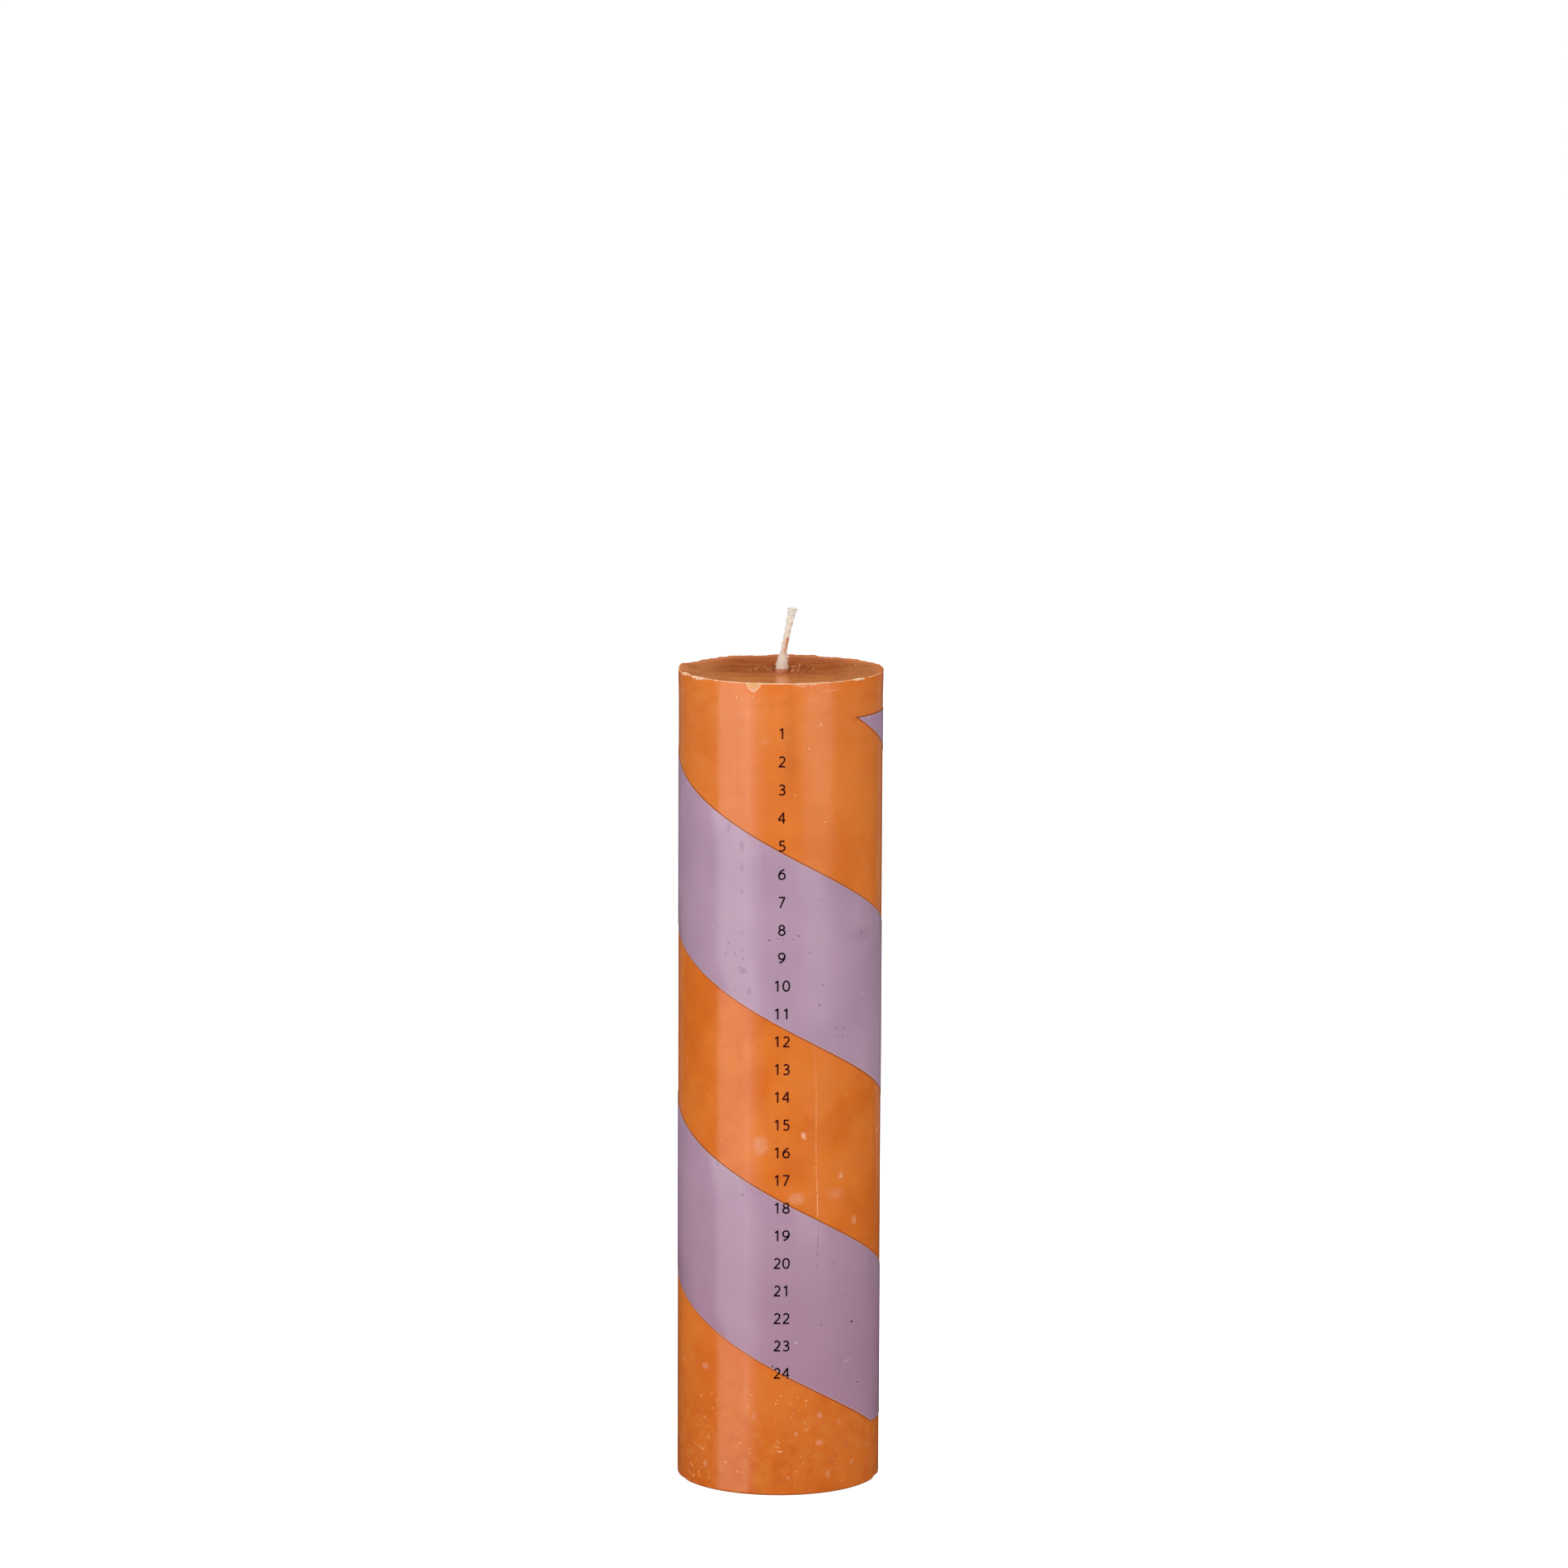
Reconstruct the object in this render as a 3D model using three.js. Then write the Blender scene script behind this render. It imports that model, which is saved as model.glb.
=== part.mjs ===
// Advent calendar candle: a moulded wax pillar with a spiral band laid round it, a primed cotton wick
// down its middle, and a tin foot that holds the wick in the base.
// Millimetres, +Z up. The origin is the centre of the base, where the candle stands.
// The front, where the days are printed in a column, looks along -Y. Angles round the pillar are in
// degrees, from the front and anticlockwise seen from above.

import * as THREE from 'three';

// The wax pillar.
const pillarDiameter = 60;
const pillarHeight = 242;
const baseEdgeRadius = 0.9;
const rimFlare = 0.15;
const rimFlareHeight = 9;
const rimEdgeRadius = 0.35;
const rimLipWidth = 1.3;
const rimLipHeight = 0.5;
const topDishDepth = 0.8;

// The spiral band. Its width and the height that it falls in one turn are measured along the pillar.
const bandTurnHeight = 103.5;
const bandWidth = 51.4;
const bandTopMargin = 11.4;
const bandBottomMargin = 18.5;
const bandTopTipAngle = 48.4;
const bandTipWidth = 0.4;
const bandThickness = 0.15;
const bandLaidClearance = 0.03;

// The braided wick. Its free end leans to the right in a soft S.
const wickDiameter = 1.9;
const wickFreeHeight = 19.5;
const wickLeanReach = 3.3;
const wickLeanSweep = 120;
const wickLeanDepth = 3;
const wickStrands = 3;
const wickStrandRelief = 0.12;
const wickLayLength = 6;
const wickFrayLength = 5;
const wickFrayDiameter = 3.2;
const wickFrayRelief = 0.3;

// The primer wax that stiffens the wick. It stands up round the wick as a ragged collar.
const primedDiameter = 3;
const collarFootDiameter = 3.8;
const collarTopDiameter = 3.1;
const collarHeight = 4.6;
const collarRaggedness = 0.7;
const collarBroadPeaks = 3;
const collarFinePeaks = 7;
const collarBroadShare = 0.6;
const primerClearance = 0.12;

// The tin foot: a round plate with a drawn neck, crimped round the end of the primed wick.
const footDiameter = 20;
const footSheet = 0.3;
const footInset = 0.5;
const footFilletRadius = 0.8;
const neckHeight = 7;
const neckMouthFlare = 0.3;
const neckMouthLength = 1;
const neckClearance = 0.1;

// Room that the wax leaves for the pieces inside it.
const channelClearance = 0.15;
const recessClearance = 0.25;

// How finely round and curved surfaces are divided.
const pillarSides = 96;
const footSides = 48;
const primerSides = 24;
const wickSides = 18;
const cornerSteps = 4;
const flareSteps = 4;
const dishSteps = 6;
const leanRingSpacing = 0.7;
const straightRingSpacing = 30;
const closestColumnShare = 0.05;

// Sizes that follow from the ones above.
const pillarRadius = pillarDiameter / 2;
const wickRadius = wickDiameter / 2;
const primedRadius = primedDiameter / 2;
const collarFootRadius = collarFootDiameter / 2;
const collarTopRadius = collarTopDiameter / 2;
const footRadius = footDiameter / 2;
const topSurface = pillarHeight - rimLipHeight - topDishDepth;
const leanStart = topSurface - wickLeanDepth;
const wickTip = topSurface + wickFreeHeight;
const wickFoot = footInset + footSheet / 2;
const neckBoreRadius = primedRadius + neckClearance;
const neckRadius = neckBoreRadius + footSheet;
const primerBoreRadius = wickRadius + wickStrandRelief + primerClearance;
const channelRadius = primedRadius + channelClearance;
const recessRadius = footRadius + recessClearance;
const recessDepth = footInset + footSheet + recessClearance;
const pocketRadius = neckRadius + Math.max(neckMouthFlare, footFilletRadius) + recessClearance;
const pocketTop = footInset + neckHeight + recessClearance;

// A point on a circle round the pillar's axis.
function around(radius, angle, height) {
  const turn = THREE.MathUtils.degToRad(angle);
  return new THREE.Vector3(radius * Math.sin(turn), -radius * Math.cos(turn), height);
}

// Points of an arc in a profile, where x is the radius and y the height.
function arc(centreX, centreY, radius, from, to) {
  const points = [];
  for (let step = 0; step <= cornerSteps; step++) {
    const turn = THREE.MathUtils.degToRad(from + ((to - from) * step) / cornerSteps);
    points.push([centreX + radius * Math.cos(turn), centreY + radius * Math.sin(turn)]);
  }
  return points;
}

// A solid of revolution from a profile that runs anticlockwise round its section and closes on itself.
function turned(profile, sides) {
  const points = [...profile, profile[0]].map(([radius, height]) => new THREE.Vector2(radius, height));
  return new THREE.LatheGeometry(points, sides).rotateX(Math.PI / 2);
}

// A closed solid through a row of rings, all with as many points, each running anticlockwise seen from
// the far end of the row. A looped row joins its last ring to its first, and any other gets end caps.
function lofted(rings, looped) {
  const sides = rings[0].length;
  const points = rings.flat();
  const faces = [];
  const joins = looped ? rings.length : rings.length - 1;
  for (let ring = 0; ring < joins; ring++) {
    const here = ring * sides;
    const next = ((ring + 1) % rings.length) * sides;
    for (let side = 0; side < sides; side++) {
      const turn = (side + 1) % sides;
      faces.push(here + side, here + turn, next + turn);
      faces.push(here + side, next + turn, next + side);
    }
  }
  if (!looped) {
    const last = (rings.length - 1) * sides;
    const firstCentre = points.push(middle(rings[0])) - 1;
    const lastCentre = points.push(middle(rings[rings.length - 1])) - 1;
    for (let side = 0; side < sides; side++) {
      const turn = (side + 1) % sides;
      faces.push(firstCentre, turn, side);
      faces.push(lastCentre, last + side, last + turn);
    }
  }
  const geometry = new THREE.BufferGeometry().setFromPoints(points);
  geometry.setIndex(faces);
  geometry.computeVertexNormals();
  return geometry;
}

function middle(ring) {
  const sum = new THREE.Vector3();
  ring.forEach((point) => sum.add(point));
  return sum.divideScalar(ring.length);
}

// The pillar's outer radius at a height. The mould opens a little towards the rim.
function wallRadius(height) {
  const flareStart = pillarHeight - rimFlareHeight;
  return pillarRadius + rimFlare * THREE.MathUtils.smoothstep(height, flareStart, pillarHeight);
}

// The pillar is one revolve: base, wall, raised rim, sunken top, wick channel and the foot's recess.
function waxBody() {
  const rimRadius = pillarRadius + rimFlare;
  const lipFoot = rimRadius - rimLipWidth - rimLipHeight;
  const mouthRadius = channelRadius + collarFootRadius - primedRadius + wickOffset(topSurface);
  const profile = [[recessRadius, 0]];
  profile.push(...arc(pillarRadius - baseEdgeRadius, baseEdgeRadius, baseEdgeRadius, -90, 0));
  for (let step = 0; step < flareSteps; step++) {
    const height = pillarHeight - rimFlareHeight + ((rimFlareHeight - rimEdgeRadius) * step) / flareSteps;
    profile.push([wallRadius(height), height]);
  }
  profile.push(...arc(rimRadius - rimEdgeRadius, pillarHeight - rimEdgeRadius, rimEdgeRadius, 0, 90));
  profile.push([rimRadius - rimLipWidth, pillarHeight]);
  for (let step = 0; step <= dishSteps; step++) {
    const radius = THREE.MathUtils.lerp(lipFoot, mouthRadius, step / dishSteps);
    const share = (radius - mouthRadius) / (lipFoot - mouthRadius);
    profile.push([radius, topSurface + topDishDepth * share * share]);
  }
  profile.push([channelRadius, leanStart]);
  profile.push([channelRadius, pocketTop]);
  profile.push([pocketRadius, pocketTop]);
  profile.push([pocketRadius, recessDepth]);
  profile.push([recessRadius, recessDepth]);
  return turned(profile, pillarSides);
}

// The band is a strip that falls as it goes round, cut level at both ends, so that each end runs out in
// a long tip. Unrolled it is a parallelogram. It lies on the wall in columns that follow the pillar's
// own flats.
function spiralBand() {
  const top = pillarHeight - bandTopMargin;
  const bottom = bandBottomMargin;
  const lowerEdge = (angle) => top - ((angle - bandTopTipAngle) / 360) * bandTurnHeight;
  const angleOfFall = (fall) => bandTopTipAngle + (360 * fall) / bandTurnHeight;
  const first = angleOfFall(bandTipWidth);
  const last = angleOfFall(top - bottom + bandWidth - bandTipWidth);
  const corners = [first, angleOfFall(bandWidth), angleOfFall(top - bottom), last];
  const flat = 360 / pillarSides;
  const flats = [];
  for (let angle = Math.ceil(first / flat) * flat; angle < last; angle += flat) {
    flats.push(angle);
  }
  const closest = flat * closestColumnShare;
  const clearOfCorners = (angle) => corners.every((corner) => Math.abs(corner - angle) > closest);
  const columns = [...corners, ...flats.filter(clearOfCorners)].sort((a, b) => a - b);
  const rings = columns.map((angle) => {
    const low = Math.max(bottom, lowerEdge(angle));
    const high = Math.min(top, lowerEdge(angle) + bandWidth);
    const laid = (height) => wallRadius(height) + bandLaidClearance;
    return [
      around(laid(low), angle, low),
      around(laid(high), angle, high),
      around(laid(high) + bandThickness, angle, high),
      around(laid(low) + bandThickness, angle, low),
    ];
  });
  return lofted(rings, false);
}

// How far the wick's centre has leaned to the right at a height, and how steeply it leans there.
function wickOffset(height) {
  const sweep = THREE.MathUtils.degToRad(wickLeanSweep);
  const share = Math.max(0, (height - leanStart) / (wickTip - leanStart));
  return (wickLeanReach * (1 - Math.cos(sweep * share))) / (1 - Math.cos(sweep));
}

function wickSlope(height) {
  const sweep = THREE.MathUtils.degToRad(wickLeanSweep);
  const share = Math.max(0, (height - leanStart) / (wickTip - leanStart));
  const steepness = (sweep * Math.sin(sweep * share)) / (1 - Math.cos(sweep));
  return (wickLeanReach * steepness) / (wickTip - leanStart);
}

// A ring round the wick's centreline, square to it. The radius and the height may change with the turn.
function wickRing(sides, radiusAt, heightAt) {
  const ring = [];
  for (let side = 0; side < sides; side++) {
    const turn = (2 * Math.PI * side) / sides;
    const height = heightAt(turn);
    const tilt = Math.atan(wickSlope(height));
    const across = new THREE.Vector3(Math.cos(tilt), 0, -Math.sin(tilt));
    const centre = new THREE.Vector3(wickOffset(height), 0, height);
    centre.addScaledVector(across, radiusAt(turn) * Math.cos(turn));
    centre.y += radiusAt(turn) * Math.sin(turn);
    ring.push(centre);
  }
  return ring;
}

// Heights for a row of rings from one height to another, evenly spaced and both ends included.
function heights(from, to, spacing) {
  const steps = Math.max(1, Math.ceil((to - from) / spacing));
  return Array.from({ length: steps + 1 }, (unused, step) => from + ((to - from) * step) / steps);
}

// The wick is laid from a few strands, which show as low ridges round its free end and open out at the
// frayed tip. Inside the primer its section stays round.
function wick() {
  const held = heights(wickFoot, leanStart, straightRingSpacing);
  const free = heights(leanStart, wickTip, leanRingSpacing).slice(1);
  const rings = [...held, ...free].map((height) => {
    const fray = THREE.MathUtils.smoothstep(height, wickTip - wickFrayLength, wickTip);
    const shown = THREE.MathUtils.smoothstep(height, leanStart, topSurface);
    const base = THREE.MathUtils.lerp(wickRadius, wickFrayDiameter / 2 - wickFrayRelief, fray);
    const relief = shown * THREE.MathUtils.lerp(wickStrandRelief, wickFrayRelief, fray);
    const twist = (2 * Math.PI * (height - leanStart)) / wickLayLength;
    return wickRing(wickSides, (turn) => base + relief * Math.cos(wickStrands * (turn - twist)), () => height);
  });
  return lofted(rings, false);
}

// The primer is a tube along the wick. It thickens into a foot where the melt met the top of the
// pillar, and ends above in a ragged edge.
function wickPrimer() {
  const collarTop = topSurface + collarHeight;
  const outerRadius = (height) => {
    if (height <= topSurface) {
      const thickening = THREE.MathUtils.clamp((height - leanStart) / wickLeanDepth, 0, 1);
      return THREE.MathUtils.lerp(primedRadius, collarFootRadius, thickening);
    }
    return THREE.MathUtils.lerp(collarFootRadius, collarTopRadius, (height - topSurface) / collarHeight);
  };
  const ragged = (turn) => {
    const broad = Math.sin(collarBroadPeaks * turn);
    return THREE.MathUtils.lerp(Math.sin(collarFinePeaks * turn), broad, collarBroadShare);
  };
  const raise = (height, turn) => {
    const share = THREE.MathUtils.clamp((height - topSurface) / collarHeight, 0, 1);
    return height + collarRaggedness * share * ragged(turn);
  };
  const rows = [
    ...heights(wickFoot, leanStart, straightRingSpacing),
    ...heights(leanStart, topSurface, leanRingSpacing * 2).slice(1),
    ...heights(topSurface, collarTop, leanRingSpacing).slice(1),
  ];
  const ringAt = (height, radius) => wickRing(primerSides, () => radius, (turn) => raise(height, turn));
  const outside = rows.map((height) => ringAt(height, outerRadius(height)));
  const inside = rows.map((height) => ringAt(height, primerBoreRadius)).reverse();
  return lofted([...outside, ...inside], true);
}

// The tin foot is one pressing, turned here about its own axis with its underside at zero.
function wickFootPlate() {
  const mouthStart = neckHeight - neckMouthLength;
  const profile = [
    [neckBoreRadius, 0],
    [footRadius, 0],
    [footRadius, footSheet],
  ];
  const fillet = arc(neckRadius + footFilletRadius, footSheet + footFilletRadius, footFilletRadius, 270, 180);
  profile.push(...fillet);
  profile.push([neckRadius, mouthStart]);
  profile.push([neckRadius + neckMouthFlare, neckHeight]);
  profile.push([neckBoreRadius + neckMouthFlare, neckHeight]);
  profile.push([neckBoreRadius, mouthStart]);
  return turned(profile, footSides);
}

function part(name, geometry, color, roughness, metalness) {
  const mesh = new THREE.Mesh(geometry, new THREE.MeshStandardMaterial({ color, roughness, metalness }));
  mesh.name = name;
  return mesh;
}

const foot = part('wick_foot', wickFootPlate(), '#b8bcc0', 0.35, 1);
foot.position.z = footInset;

const wickSet = new THREE.Group();
wickSet.add(part('wick', wick(), '#e8dfcf', 0.9, 0));
wickSet.add(part('wick_primer', wickPrimer(), '#f1e8d8', 0.5, 0));
wickSet.add(foot);

const candle = new THREE.Group();
candle.add(part('wax_body', waxBody(), '#e07c30', 0.45, 0));
candle.add(part('spiral_band', spiralBand(), '#b494ac', 0.4, 0));
candle.add(wickSet);

export default candle;
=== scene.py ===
# %% [markdown]
# # An advent candle
# This lesson dresses a plain CAD model of an advent calendar candle: an orange wax pillar, a lilac band
# that winds round it, a printed column of days and a braided wick. The CAD solids give every size and
# place. The lesson models finer pieces over them, gives each one its material, and sets up a small
# studio. All lengths are written in millimetres and turned to metres where Blender needs them.

import math
import random
from types import SimpleNamespace

import bpy
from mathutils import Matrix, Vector


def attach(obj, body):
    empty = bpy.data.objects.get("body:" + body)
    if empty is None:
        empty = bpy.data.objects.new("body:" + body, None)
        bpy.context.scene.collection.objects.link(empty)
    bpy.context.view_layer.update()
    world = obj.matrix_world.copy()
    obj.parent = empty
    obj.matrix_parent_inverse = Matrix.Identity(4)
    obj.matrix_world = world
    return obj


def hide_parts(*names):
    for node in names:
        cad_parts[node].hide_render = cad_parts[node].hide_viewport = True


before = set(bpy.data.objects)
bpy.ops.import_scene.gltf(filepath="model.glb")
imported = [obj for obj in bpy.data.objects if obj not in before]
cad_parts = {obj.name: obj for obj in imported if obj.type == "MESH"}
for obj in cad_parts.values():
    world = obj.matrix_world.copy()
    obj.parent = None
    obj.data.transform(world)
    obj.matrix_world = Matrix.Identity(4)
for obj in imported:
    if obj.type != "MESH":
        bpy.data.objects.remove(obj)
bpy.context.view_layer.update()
MM = 0.001
print("CAD nodes:", sorted(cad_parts))

# %% [markdown]
# ## Tools of the bench
# Every step below selects something, runs one of Blender's own operators on it and applies the result.
# `only` makes one piece the selected one. `pick` opens a piece in edit mode with just those vertices,
# edges or faces selected that pass a test on their place. Heights and radii are what the tests ask for,
# because a candle is round.

# %% Selecting
def only(*pieces):
    if bpy.context.mode != "OBJECT":
        bpy.ops.object.mode_set(mode="OBJECT")
    bpy.ops.object.select_all(action="DESELECT")
    for piece in pieces:
        piece.select_set(True)
    bpy.context.view_layer.objects.active = pieces[0]


def pick(piece, kind, test):
    """kind is VERT, EDGE or FACE. The test gets a middle point in mm, and for a face its normal too."""
    only(piece)
    bpy.ops.object.mode_set(mode="EDIT")
    bpy.ops.mesh.select_mode(type=kind)
    bpy.ops.mesh.select_all(action="DESELECT")
    bpy.ops.object.mode_set(mode="OBJECT")
    mesh = piece.data
    points = [vertex.co / MM for vertex in mesh.vertices]
    if kind == "VERT":
        chosen = [test(point) for point in points]
        mesh.vertices.foreach_set("select", chosen)
    elif kind == "EDGE":
        chosen = [test(points[edge.vertices[0]], points[edge.vertices[1]]) for edge in mesh.edges]
        mesh.edges.foreach_set("select", chosen)
    else:
        chosen = [test(face.center / MM, face.normal) for face in mesh.polygons]
        mesh.polygons.foreach_set("select", chosen)
    bpy.ops.object.mode_set(mode="EDIT")
    return sum(chosen)


def pick_all(piece):
    only(piece)
    bpy.ops.object.mode_set(mode="EDIT")
    bpy.ops.mesh.select_mode(type="FACE")
    bpy.ops.mesh.select_all(action="SELECT")


def off_axis(point):
    return math.hypot(point.x, point.y)


def around(radius, angle, height):
    """A point in mm. The angle runs from the front, anticlockwise seen from above, as in the CAD."""
    turn = math.radians(angle)
    return Vector((radius * math.sin(turn), -radius * math.cos(turn), height))

# %% Adding, changing and finishing
def add(operator, name, **settings):
    bpy.ops.object.select_all(action="DESELECT")
    operator(**settings)
    piece = bpy.context.object
    piece.name = name
    return piece


def add_bar(name, sides, radius, length, middle, **settings):
    """A cylinder on the candle's axis. Its middle is a height in mm."""
    bar = add(bpy.ops.mesh.primitive_cylinder_add, name, vertices=sides, radius=radius * MM,
              depth=length * MM, location=(0, 0, middle * MM), **settings)
    place_in_mesh(bar)
    return bar


def new_curve(name, **settings):
    """A 3-D curve that has no splines yet, and the object that carries it."""
    curve = bpy.data.curves.new(name, "CURVE")
    curve.dimensions = "3D"
    for setting, value in settings.items():
        setattr(curve, setting, value)
    carrier = bpy.data.objects.new(name, curve)
    bpy.context.scene.collection.objects.link(carrier)
    return curve, carrier


def modify(piece, kind, **settings):
    """Adds a modifier, sets it and applies it at once."""
    only(piece)
    modifier = piece.modifiers.new(kind.lower(), kind)
    for name, value in settings.items():
        setattr(modifier, name, value)
    bpy.ops.object.modifier_apply(modifier=modifier.name)


def widen_ring(piece, height, times, slack):
    pick(piece, "VERT", lambda point: abs(point.z - height) < slack)
    bpy.ops.transform.resize(value=(times, times, 1), center_override=(0, 0, height * MM))


def place_in_mesh(piece):
    only(piece)
    bpy.ops.object.transform_apply(location=True, rotation=True, scale=True)
    bpy.context.scene.cursor.location = (0, 0, 0)
    bpy.ops.object.origin_set(type="ORIGIN_CURSOR")


def copy_of(piece, name):
    twin = piece.copy()
    twin.data = piece.data.copy()
    twin.name = name
    bpy.context.scene.collection.objects.link(twin)
    return twin


def joined(name, pieces):
    only(*pieces)
    bpy.ops.object.join()
    pieces[0].name = name
    return pieces[0]


def finish_piece(piece, angle=35):
    """Outward normals, smooth shading up to an angle, and the piece rides on the candle's one body."""
    place_in_mesh(piece)
    pick_all(piece)
    bpy.ops.mesh.normals_make_consistent(inside=False)
    bpy.ops.object.mode_set(mode="OBJECT")
    bpy.ops.object.shade_smooth_by_angle(angle=math.radians(angle))
    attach(piece, "root")
    triangles = sum(len(face.vertices) - 2 for face in piece.data.polygons)
    print(piece.name, "has", triangles, "triangles")

# %% [markdown]
# ## The wax pillar
# The real pillar is paraffin wax that was dyed through, melted and cast in a metal tube. Wax shrinks as
# it sets, so the top sinks to a shallow dish inside a raised rim, and the wick climbs out of a little
# meniscus. A lathe profile would give the same shape at once. Here it starts as a cylinder and is shaped
# by insets and extrudes, because that is how a solid is cut back in edit mode, ring by ring.

# %% The pillar's sizes
WALL_RADIUS = 30.0
HEIGHT = 242.0
RIM_FLARE = 0.15
RIM_FLARE_HEIGHT = 9.0
LIP_WIDTH = 0.9
# The rim's inner slope in rings, from the lip inwards: how wide each is and how far it falls.
LIP_SLOPE = ((0.5, 0.08), (0.6, 0.16), (0.7, 0.14), (0.7, 0.12))
LIP_HEIGHT = sum(fall for width, fall in LIP_SLOPE)
RIM_EDGE = 0.35
BASE_EDGE = 0.9
DISH_DEPTH = 0.8
DISH_TOP = HEIGHT - LIP_HEIGHT - DISH_DEPTH
MOUTH_RADIUS = 1.72
CHANNEL_RADIUS = 1.65
PILLAR_SIDES = 240


def wall_radius(height):
    share = min(1, max(0, (height - HEIGHT + RIM_FLARE_HEIGHT) / RIM_FLARE_HEIGHT))
    return WALL_RADIUS + RIM_FLARE * share * share * (3 - 2 * share)


print("the dish lies at", DISH_TOP, "mm and the rim is", round(wall_radius(HEIGHT), 2), "mm in radius")

# %% A cylinder with a flared wall
FLARE_RINGS = 6
pillar = add_bar("wax_pillar", PILLAR_SIDES, WALL_RADIUS, HEIGHT, HEIGHT / 2)
for ring in range(FLARE_RINGS):
    height = HEIGHT - RIM_FLARE_HEIGHT * (1 - ring / FLARE_RINGS)
    pick_all(pillar)
    bpy.ops.mesh.bisect(plane_co=(0, 0, height * MM), plane_no=(0, 0, 1))
for ring in range(1, FLARE_RINGS + 1):
    height = HEIGHT - RIM_FLARE_HEIGHT * (1 - ring / FLARE_RINGS)
    widen_ring(pillar, height, wall_radius(height) / WALL_RADIUS, 0.01)
print("wall rings:", FLARE_RINGS)

# %% The raised rim and the sunken top
DISH_RINGS = 14
MENISCUS_RINGS = ((0.9, 0.0), (0.45, 0.02), (0.25, 0.05), (0.12, 0.06))


def inset(width, rise=0.0):
    bpy.ops.mesh.inset(thickness=width * MM, depth=rise * MM)


pick(pillar, "FACE", lambda centre, normal: normal.z > 0.9)
inset(LIP_WIDTH * 0.5)
inset(LIP_WIDTH * 0.5)
for width, fall in LIP_SLOPE:
    inset(width, -fall)
lip_foot = wall_radius(HEIGHT) - LIP_WIDTH - sum(width for width, fall in LIP_SLOPE)
dish_end = MOUTH_RADIUS + sum(width for width, rise in MENISCUS_RINGS)
for ring in range(DISH_RINGS):
    outer = 1 - ring / DISH_RINGS
    inner = 1 - (ring + 1) / DISH_RINGS
    inset((lip_foot - dish_end) / DISH_RINGS, -DISH_DEPTH * (outer ** 2 - inner ** 2))
for width, rise in MENISCUS_RINGS:
    inset(width, rise)
print("the wick's mouth is", MOUTH_RADIUS, "mm in radius")

# %% The channel and the foot's recess
def face_at(height):
    return lambda centre, normal: abs(centre.z - height) < 0.02 and off_axis(centre) < 0.5


def extrude(rise):
    bpy.ops.mesh.extrude_region_move(TRANSFORM_OT_translate={"value": (0, 0, rise * MM)})


# The recess for the foot's plate, then for its neck: radius and depth.
RECESS = ((10.25, 1.05), (2.85, 6.7))
MOUTH_DEPTH = 4
mouth_height = DISH_TOP + sum(rise for width, rise in MENISCUS_RINGS)
pick(pillar, "FACE", face_at(mouth_height))
extrude(-MOUTH_DEPTH)
channel_top = mouth_height - MOUTH_DEPTH
pick(pillar, "FACE", face_at(channel_top))
bpy.ops.transform.resize(value=(CHANNEL_RADIUS / MOUTH_RADIUS,) * 2 + (1,), center_override=(0, 0, 0))
pick(pillar, "FACE", face_at(0))
outer, height = WALL_RADIUS, 0
for radius, depth in RECESS:
    inset(outer - radius)
    extrude(depth)
    outer, height = radius, height + depth
inset(outer - CHANNEL_RADIUS)
ends = face_at(channel_top), face_at(height)
print("open ends:", pick(pillar, "FACE", lambda centre, normal: any(end(centre, normal) for end in ends)))
bpy.ops.mesh.bridge_edge_loops()

# %% Rounded edges
def ring_edges(height, radius):
    return lambda a, b: all(abs(p.z - height) < 0.01 and abs(off_axis(p) - radius) < 0.02 for p in (a, b))


print("rim edges:", pick(pillar, "EDGE", ring_edges(HEIGHT, wall_radius(HEIGHT))))
bpy.ops.mesh.bevel(offset=RIM_EDGE * MM, segments=4)
print("base edges:", pick(pillar, "EDGE", ring_edges(0, WALL_RADIUS)))
bpy.ops.mesh.bevel(offset=BASE_EDGE * MM, segments=5)

# %% [markdown]
# ## Wear on the pillar
# A wax rim is never true: the melt draws up the mould unevenly and handling dents it. A clouds texture
# lifts and lowers the rim by a few tenths of a millimetre. The knocks are cut with the Boolean modifier:
# each cutter is a small lumpy ball, set half into the edge, and what it takes away is the chip.

# %% The uneven rim
def group_of(piece, name, test):
    chosen = [v.index for v in piece.data.vertices if test(v.co / MM)]
    piece.vertex_groups.new(name=name).add(chosen, 1.0, "REPLACE")
    return name


def clouds(name, size):
    texture = bpy.data.textures.new(name, "CLOUDS")
    texture.noise_scale = size * MM
    texture.noise_depth = 2
    return texture


def roughen(piece, texture, strength, **settings):
    modify(piece, "DISPLACE", texture=texture, texture_coords="GLOBAL", strength=strength * MM,
           mid_level=0.5, **settings)


def on_rim(point):
    return point.z > HEIGHT - 0.4 and off_axis(point) > 28


only(pillar)
rim = group_of(pillar, "rim", on_rim)
back_rim = group_of(pillar, "back_rim", lambda point: on_rim(point) and point.y > -6)
# Each row of clouds is a group, the clouds' size, the direction and how far they move the wax in mm.
for group, size, direction, strength in (
    (rim, 7, "Z", 0.15), (back_rim, 7, "Z", 0.40), (back_rim, 1.4, "Z", 0.45), (rim, 1.6, "NORMAL", 0.22),
):
    roughen(pillar, clouds("rim_clouds", size), strength, vertex_group=group, direction=direction)


def pull(move, reach, **settings):
    """Moves what is picked by a vector in metres, and draws along what lies within reach, in mm."""
    bpy.ops.transform.translate(value=move, use_proportional_edit=True,
                                proportional_edit_falloff="SMOOTH", proportional_size=reach * MM, **settings)


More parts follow.
